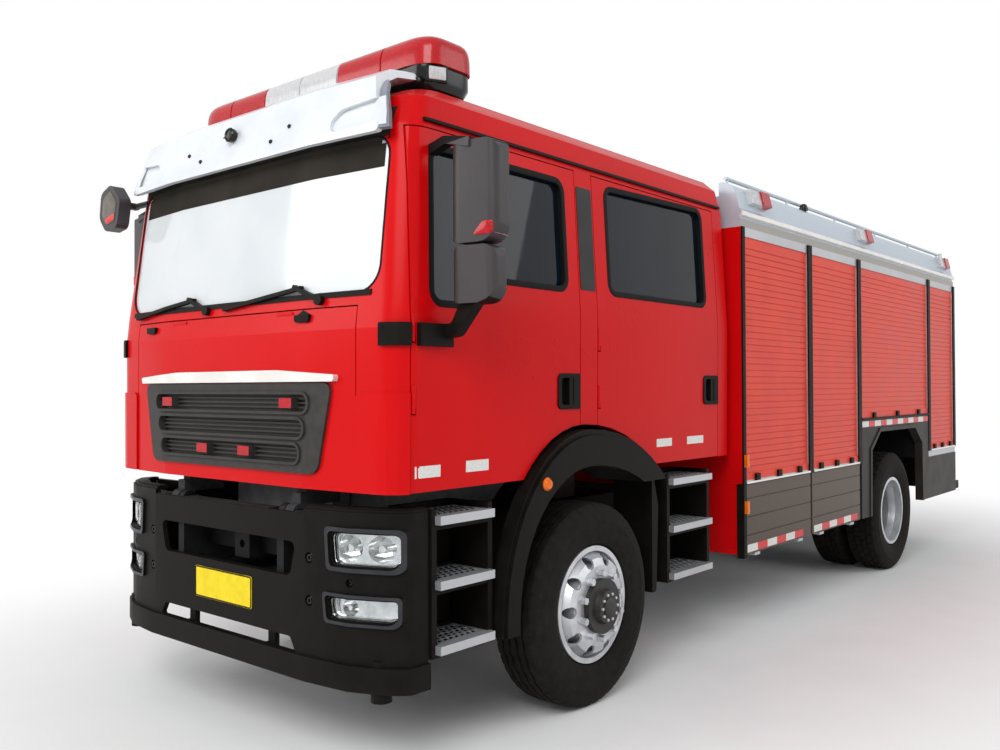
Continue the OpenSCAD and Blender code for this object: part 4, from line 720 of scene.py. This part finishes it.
visor = Skin("sun_visor").front()
bm = bmesh.new()
for x, z, r in ((0.966, 2.868, 0.017), (-0.966, 2.868, 0.017), (-0.296, 2.789, 0.010), (0.296, 2.789, 0.010),
                (-0.420, 2.840, 0.010), (0.420, 2.840, 0.010)):
    spot, normal = visor(x, z)
    add_lathe(bm, spot, normal, stud(r, 0.008), 20)
spot, normal = visor(-0.031, 2.874)
add_lathe(bm, spot + normal * 0.012, (0, -1, 0.1), [(0, -0.02), (0.020, -0.02), (0.034, 0.0), (0.036, 0.02),
                                                  (0.030, 0.026), (0.024, 0.018), (0, 0.016)], 28)
cable = [spot + Vector(v) for v in ((0, 0.004, 0.002), (-0.05, 0.0, 0.018), (-0.11, 0.012, 0.01))]
add_sweep(bm, cable, round_bar(0.008), [Vector((0, 0, 1))] * 3)
piece("visor_fittings", bm, GLOSS_BLACK, "cab", "black_plastic")

# Mirrors. Heads of the door mirrors: X, lower Z, width, height, depth
MIRROR_Y, MIRROR_RIM = -1.080, 0.018
MIRROR_HEADS = ((1.335, 2.240, 0.240, 0.425, 0.140), (1.329, 1.990, 0.226, 0.240, 0.130))
for s, side in SIDES:
    bm = bmesh.new()
    for x, z, w, h, d in MIRROR_HEADS:
        place = flat(at(s * x, MIRROR_Y + d * 0.4 - 0.007, z), (-1, 0, 0), (0, 0, 1))
        line = rectangle(-w / 2 + MIRROR_RIM, MIRROR_RIM, w / 2 - MIRROR_RIM, h - MIRROR_RIM, 0.045, 6)
        add_shell(bm, split(line, 0.05), place, 0.002, crown=0.002)
    piece(f"mirror_glass_{side}", bm, MIRROR_GLASS, f"front_door_{side}", "chrome_trim")
    bm = bmesh.new()
    signal = rounded([(s * 1.346, 2.268, 0.006), (s * 1.440, 2.268, 0.008), (s * 1.440, 2.322, 0.008),
                      (s * 1.396, 2.322, 0.03)])
    add_shell(bm, split(signal, 0.01), Skin(f"mirror_{side}").front(), 0.003, crown=0.003)
    piece(f"mirror_repeater_{side}", bm, LAMP_RED, f"front_door_{side}", "lamp_red")

KERB_X, KERB_Z = -1.155, 2.660
bm = bmesh.new()
kerb = rounded([(0.099, -0.05, 0.044), (0.04, -0.119, 0.044), (-0.069, -0.099, 0.029), (-0.102, 0.03, 0.029),
                (-0.02, 0.116, 0.034), (0.079, 0.074, 0.034)], 5)
kerb_back = flat(at(KERB_X, -1.3595, KERB_Z), (-1, 0, 0), (0, 0, 1))
add_shell(bm, split(kerb, 0.04), kerb_back, 0.002, crown=0.003)
piece("kerb_mirror_glass", bm, MIRROR_GLASS, "cab", "chrome_trim")
bm = bmesh.new()
pane = [Vector((-u * 0.8, v * 0.8)) for u, v in kerb]
patch = rounded([(-0.055, -0.058, 0.02), (-0.028, -0.090, 0.02), (0.050, -0.076, 0.02), (0.066, -0.030, 0.015)])
kerb_front = flat(at(KERB_X, -1.420, KERB_Z), (1, 0, 0), (0, 0, 1))
add_shell(bm, split(pane, 0.03), kerb_front, 0.003, crown=0.004)
add_shell(bm, split(patch, 0.02), kerb_front, 0.004, crown=0.004, index=1)
piece("kerb_mirror_pane", bm, [KERB_PANE, TAPE_RED], "cab", "black_plastic")

# Studs on the step treads, in staggered rows
STUD_ROWS, STUD_COLUMNS, STUD_EDGE = 5, 15, 0.07
bm = bmesh.new()
for s, _ in SIDES:
    for first, last, low in STEPS:
        pitch = (last - first - 2 * STUD_EDGE) / (STUD_COLUMNS - 1)
        for i in range(3):
            for a in range(STUD_COLUMNS):
                for b in range(STUD_ROWS):
                    if (a + b) % 2:
                        x, z = s * (0.960 + b * 0.0325), low + STEP_RISE * i + 0.0258
                        spot = at(x, first + STUD_EDGE + a * pitch, z)
                        add_lathe(bm, spot, (0, 0, 1), stud(0.0095, 0.0014), 10)
piece("tread_studs", bm, SEAL, "chassis", "black_plastic")

HUB_BOLTS = 10
HUB_BOLT = [(0, -0.002), (0.008, -0.002), (0.008, 0.008), (0.005, 0.010), (0, 0.010)]
for s, side in SIDES:
    for end, x, y, r in (("front", 1.248, 0.0, 0.080), ("rear", 1.017, WHEELBASE, 0.100)):
        bm = bmesh.new()
        centre = at(s * x, y, AXLE_Z)
        cap = [(0, -0.003), (r * 0.62, -0.003), (r * 0.62, 0.006), (r * 0.5, 0.013), (r * 0.2, 0.016),
               (0, 0.016)]
        add_lathe(bm, centre, (s, 0, 0), cap, 32)
        for k in range(HUB_BOLTS):
            t = 2 * math.pi * k / HUB_BOLTS
            spot = centre + Vector((0, math.cos(t), math.sin(t))) * r * 0.82
            add_lathe(bm, spot, (s, 0, 0), HUB_BOLT, 6, 1)
        piece(f"hub_cap_{end}_{side}", bm, [HUB, SILVER], f"road_wheel_{end}_{side}", "wheel_silver")

bm = bmesh.new()
housing = [(0, 0), (0.034, 0), (0.034, 0.022), (0.028, 0.024), (0.028, 0.034), (0.022, 0.046), (0.010, 0.053),
           (0, 0.055)]
add_lathe(bm, at(1.100, 2.870, 2.968), (0, 0, 1), housing, 28)
piece("roof_camera", bm, GLOSS_BLACK, "chassis", "black_plastic")

bm = bmesh.new()
rear_face = flat(at(0, BODY_REAR + 0.150, 0), (-1, 0, 0), (0, 0, 1))
add_shell(bm, split(rectangle(-PLATE_HALF, 0.575, PLATE_HALF, 0.630, 0.01), 0.06), rear_face, 0.003, rings=3)
piece("rear_plate", bm, PLATE, "chassis", "black_plastic")
bm = bmesh.new()
for x in (-1.05, 1.05):
    line = split(rectangle(x - 0.05, 0.575, x + 0.05, 0.625, 0.012), 0.03)
    add_shell(bm, line, rear_face, 0.005, crown=0.002, rings=3)
piece("rear_reflectors", bm, LAMP_RED, "chassis", "lamp_red")


# Tape


TAPE_CELL = 0.15
TAPES = ((TAPE_WHITE, "visor_white"), (TAPE_RED, "red_paint"))


def tape(name, body, place, blocks, look, slot, thick=0.0012):
    """Blocks of thin tape, each from (u0, v0) to (u1, v1)."""
    bm = bmesh.new()
    for u0, v0, u1, v1 in blocks:
        add_shell(bm, split(rectangle(u0, v0, u1, v1), 0.06), place, thick, rings=2, sink=0.0008)
    return piece(name, bm, look, body, slot)


for s, side in SIDES:
    doors = {"front": ((-1.262, 1.262, -1.112, 1.312), (-0.95, 1.268, -0.80, 1.318)),
             "rear": ((0.66, 1.296, 0.83, 1.342), (1.01, 1.296, 1.21, 1.342))}
    for end, blocks in doors.items():
        tape(f"tape_door_{end}_{side}", f"{end}_door_{side}", Skin(f"door_{end}_{side}").side(s), blocks,
             TAPE_WHITE, "visor_white")
    for end, (first, last) in (("front", SHUTTERS[0]), ("rear", SHUTTERS[1])):
        place = Skin(f"locker_flap_{side}_{end}").side(s)
        cells = int((last - first) / TAPE_CELL)
        for k, (look, slot) in enumerate(TAPES):
            starts = [first + TAPE_CELL * i + 0.01 for i in range(k, cells, 2)]
            blocks = [(y, LOCKER_Z + 0.012, y + TAPE_CELL, LOCKER_Z + 0.062) for y in starts]
            tape(f"tape_flap_{end}_{slot}_{side}", f"flap_{side}_{end}", place, blocks, look, slot)
    place = Skin("arch_panels").side(s)
    first, last = SHUTTERS[2]
    for k, (look, slot) in enumerate(TAPES):
        starts = [first + TAPE_CELL * i + 0.02 for i in range(k, 12, 2)]
        blocks = [(y, ARCH_TOP - 0.060, y + TAPE_CELL, ARCH_TOP - 0.012) for y in starts]
        tape(f"tape_arch_{slot}_{side}", "chassis", place, blocks, look, slot)


# Tyres


BEAD = 0.2868
# One side of a tyre as (radius, half width), from the bead over two raised rings to the shoulder
WALL = [(BEAD, 0.104), (BEAD + 0.018, 0.108), (BEAD + 0.026, 0.122), (BEAD + 0.045, 0.129), (0.352, 0.134),
        (0.357, 0.1365), (0.364, 0.1365), (0.369, 0.138), (0.397, 0.1405), (0.425, 0.1405), (0.430, 0.1418),
        (0.436, 0.1418), (0.441, 0.1395), (0.468, 0.135), (0.490, 0.1265), (0.506, 0.1165), (0.516, 0.107)]
HOLLOW = [(BEAD, 0.08), (0.40, 0.118), (0.488, 0.085), (0.488, -0.085), (0.40, -0.118), (BEAD, -0.08)]
GROOVES = {"rib": (-0.066, -0.0225, 0.0225, 0.066), "block": (-0.05, 0.0, 0.05)}


def tyre(name, centre, body, node, kind, steps=288):
    """A hollow tyre with long grooves, and with cuts across its ribs or blocks."""
    grooves = GROOVES[kind]
    line = sorted({round(g + d, 4) for g in grooves for d in (-0.0075, -0.0055, 0.0055, 0.0075)} |
                  {-0.1, 0.1, -0.09, 0.09, -0.078, 0.078, -0.044, 0.044, 0.0})
    profile = [(a, -b, False) for a, b in WALL] + [(TYRE_R - 0.4 * w * w, w, True) for w in line]
    profile += [(a, b, False) for a, b in reversed(WALL)] + [(a, b, False) for a, b in HOLLOW]
    bm = bmesh.new()
    rings = []
    for k in range(steps):
        t = 2 * math.pi * k / steps
        ring = []
        for rad, w, crown in profile:
            if crown:
                shift = 0.0035 * (1 if (k // 4) % 2 else -1) if kind == "rib" else 0.0
                near = min(abs(w - g) for g in grooves)
                if near < 0.006:
                    rad -= 0.012
                elif kind == "rib":
                    if abs(w) > 0.085 and k % 6 == 0:
                        rad -= 0.005
                    elif near > 0.012 and k % 4 == 0:
                        rad -= 0.0025
                    w += shift if abs(w) < 0.08 else 0.0
                else:
                    lane = int((w + 0.2) / 0.05)
                    if (k + 3 * lane) % 8 in (0, 1):
                        rad -= 0.011
            elif 0.500 < rad < 0.52 and k % (6 if kind == "rib" else 8) == 0:
                rad -= 0.006
            spot = at(centre[0] + w, centre[1] + rad * math.sin(t), centre[2] + rad * math.cos(t))
            ring.append(bm.verts.new(spot))
        rings.append(ring)
    m = len(profile)
    for k in range(steps):
        a, b = rings[k], rings[(k + 1) % steps]
        for i in range(m):
            bm.faces.new((a[i], a[(i + 1) % m], b[(i + 1) % m], b[i]))
    obj = piece(name, bm, RUBBER, body, "tyre_rubber", 30)
    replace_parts(obj, node)
    return obj


for s, side in SIDES:
    tyre(f"tyre_ribbed_{side}", (s * TYRE_X, 0, AXLE_Z), f"road_wheel_front_{side}", f"tyre_front_{side}",
         "rib")
    for k, x in enumerate((TWIN_X, TYRE_X)):
        tyre(f"tyre_twin_{side}_{k + 1}", (s * x, WHEELBASE, AXLE_Z), f"road_wheel_rear_{side}",
             f"tyres_rear_{side}", "block")


# Seats


def add_cushion(bm, size, turn, middle, crown=0.025, cells=14, index=0):
    """Adds a stuffed pad: crowned faces, sides that pull in between the corners, and round edges."""
    before = set(bm.verts)
    made = bmesh.ops.create_cube(bm, size=2.0)["verts"]
    edges = list({e for v in made for e in v.link_edges})
    bmesh.ops.subdivide_edges(bm, edges=edges, cuts=cells, use_grid_fill=True)
    shape = set(bm.verts) - before
    thin = min(range(3), key=lambda i: size[i])
    for v in shape:
        p = v.co.copy()
        soft = Vector((math.copysign(abs(c) ** 0.9, c) for c in p))
        length = max(sum(abs(c) ** 7 for c in p) ** (1 / 7), 1e-6)
        p = soft / length if length > 1 else soft
        others = [abs(p[i]) for i in range(3) if i != thin]
        rise = (1 - others[0] ** 2) * (1 - others[1] ** 2)
        out = Vector((p[i] * size[i] / 2 for i in range(3)))
        out[thin] += math.copysign(crown * rise, p[thin])
        for i in range(3):
            if i != thin:
                along = [abs(p[k]) for k in range(3) if k not in (i, thin)][0]
                out[i] *= 1 - 0.02 * (1 - along ** 2)
        v.co = turn @ out + middle
    for face in {f for v in shape for f in v.link_faces}:
        face.material_index = index


SEAT_X = 0.705
LEAN = Matrix.Rotation(math.radians(-8), 3, "X")
STILL = Matrix.Identity(3)


def seat(name, pads, stands):
    """Pads (size, turn, middle, crown) as one stuffed piece, and the blocks that they stand on."""
    bm = bmesh.new()
    for size, turn, middle, crown in pads:
        add_cushion(bm, size, turn, at(*middle), crown)
    obj = piece(name, bm, CLOTH, "cab", "seat_cloth", 50)
    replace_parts(obj, "seats")
    bm = bmesh.new()
    for low, high in stands:
        add_block(bm, at(*low), at(*high), 0.012)
    piece(f"{name}_stand", bm, TRIM, "cab", "trim_grey")


for s, side in SIDES:
    seat(f"front_seat_{side}", [
        ((0.45, 0.46, 0.13), STILL, (s * SEAT_X, -0.485, 1.642), 0.008),
        ((0.41, 0.10, 0.61), LEAN, (s * SEAT_X, -0.182, 1.965), 0.012),
        ((0.25, 0.075, 0.155), LEAN, (s * SEAT_X, -0.145, 2.345), 0.006)],
        [((s * SEAT_X - 0.08, -0.66, 1.242), (s * SEAT_X + 0.08, -0.30, 1.572))])
bench = []
for x in (-0.745, -0.25, 0.25, 0.745):
    bench += [((0.485, 0.49, 0.13), STILL, (x, 1.19, 1.674), 0.008),
              ((0.485, 0.11, 0.55), STILL, (x, 1.43, 2.02), 0.010)]
seat("rear_bench", bench, [((0.465, 0.99, 1.242), (0.99, 1.43, 1.606)),
                           ((-0.99, 0.99, 1.242), (-0.465, 1.43, 1.606))])


# Stage


bm = bmesh.new()
bmesh.ops.create_grid(bm, x_segments=1, y_segments=1, size=60)
floor_mesh = bpy.data.meshes.new("floor")
bm.to_mesh(floor_mesh)
bm.free()
floor = bpy.data.objects.new("floor", floor_mesh)
bpy.context.scene.collection.objects.link(floor)
floor_look = material("floor_pale", srgb(247, 247, 247), srgb(250, 250, 250), (0.8, 0.9), 2.0,
                      Specular_IOR_Level=0.1)
floor_mesh.materials.append(floor_look)


def seen_rays(tree):
    """One for rays that show a surface to the camera, straight, mirrored or through glass, else nought."""
    path = tree.nodes.new("ShaderNodeLightPath")
    fac = path.outputs["Is Camera Ray"]
    for name in ("Is Glossy Ray", "Is Transmission Ray"):
        either = tree.nodes.new("ShaderNodeMath")
        either.operation = "MAXIMUM"
        tree.links.new(fac, either.inputs[0])
        tree.links.new(path.outputs[name], either.inputs[1])
        fac = either.outputs[0]
    return fac


# The floor turns into the white of the backdrop away from the truck
tree = floor_look.node_tree
where = tree.nodes.new("ShaderNodeTexCoord")
turn = tree.nodes.new("ShaderNodeMapping")
turn.inputs["Scale"].default_value = (1, 0.5, 1)
reach = tree.nodes.new("ShaderNodeVectorMath")
reach.operation = "LENGTH"
fade = tree.nodes.new("ShaderNodeMapRange")
fade.interpolation_type = "SMOOTHSTEP"
fade.inputs["From Min"].default_value = 1.6
fade.inputs["From Max"].default_value = 4.6
both = tree.nodes.new("ShaderNodeMath")
both.operation = "MULTIPLY"
glow = tree.nodes.new("ShaderNodeEmission")
glow.inputs["Color"].default_value = (1, 1, 1, 1)
blend = tree.nodes.new("ShaderNodeMixShader")
tree.links.new(where.outputs["Object"], turn.inputs["Vector"])
tree.links.new(turn.outputs["Vector"], reach.inputs[0])
tree.links.new(reach.outputs["Value"], fade.inputs["Value"])
tree.links.new(fade.outputs["Result"], both.inputs[0])
tree.links.new(seen_rays(tree), both.inputs[1])
tree.links.new(both.outputs[0], blend.inputs["Fac"])
tree.links.new(tree.nodes["Principled BSDF"].outputs[0], blend.inputs[1])
tree.links.new(glow.outputs[0], blend.inputs[2])
tree.links.new(blend.outputs[0], tree.nodes["Material Output"].inputs["Surface"])

world = bpy.data.worlds.new("studio")
bpy.context.scene.world = world
world.use_nodes = True
tree = world.node_tree
tree.nodes.clear()
out = tree.nodes.new("ShaderNodeOutputWorld")
seen = tree.nodes.new("ShaderNodeBackground")
seen.inputs["Color"].default_value = (1, 1, 1, 1)
seen.inputs["Strength"].default_value = 1.0
lit = tree.nodes.new("ShaderNodeBackground")
lit.inputs["Color"].default_value = (0.97, 0.98, 1.0, 1)
lit.inputs["Strength"].default_value = 0.45
mix = tree.nodes.new("ShaderNodeMixShader")
tree.links.new(seen_rays(tree), mix.inputs["Fac"])
tree.links.new(lit.outputs[0], mix.inputs[1])
tree.links.new(seen.outputs[0], mix.inputs[2])
tree.links.new(mix.outputs[0], out.inputs["Surface"])


def lamp(name, place, aim, size, watts):
    """A flat lamp at a place, turned to what it aims at."""
    data = bpy.data.lights.new(name, "AREA")
    data.shape = "RECTANGLE"
    data.size, data.size_y = size
    data.energy = watts
    obj = bpy.data.objects.new(name, data)
    obj.location = place
    obj.rotation_euler = (Vector(aim) - Vector(place)).to_track_quat("-Z", "Y").to_euler()
    bpy.context.scene.collection.objects.link(obj)


lamp("key", (5, -11, 8), (0, -2, 1), (6, 5), 640)
lamp("fill", (9, 3, 6), (0, 1, 1.5), (7, 5), 190)
lamp("front", (-5, -11, 5), (0, -3, 1.5), (6, 4), 280)

# Camera, fitted to the photo's own view
yaw, pitch, roll = math.radians(40.4625), math.radians(0.7654), math.radians(-0.2132)
ahead = Vector((-math.sin(yaw) * math.cos(pitch), math.cos(yaw) * math.cos(pitch), math.sin(pitch)))
right = Vector((math.cos(yaw), math.sin(yaw), 0))
up = right.cross(ahead)
right, up = right * math.cos(roll) + up * math.sin(roll), up * math.cos(roll) - right * math.sin(roll)
view = Matrix((right, up, -ahead)).transposed().to_4x4()
view.translation = (3.9064, -6.5985, 1.6407)
camera_data = bpy.data.cameras.new("camera")
camera_data.sensor_width = 36.0
camera_data.lens = 33.476
camera = bpy.data.objects.new("camera", camera_data)
camera.matrix_world = view
bpy.context.scene.collection.objects.link(camera)
bpy.context.scene.camera = camera
bpy.context.scene.view_settings.view_transform = "Standard"
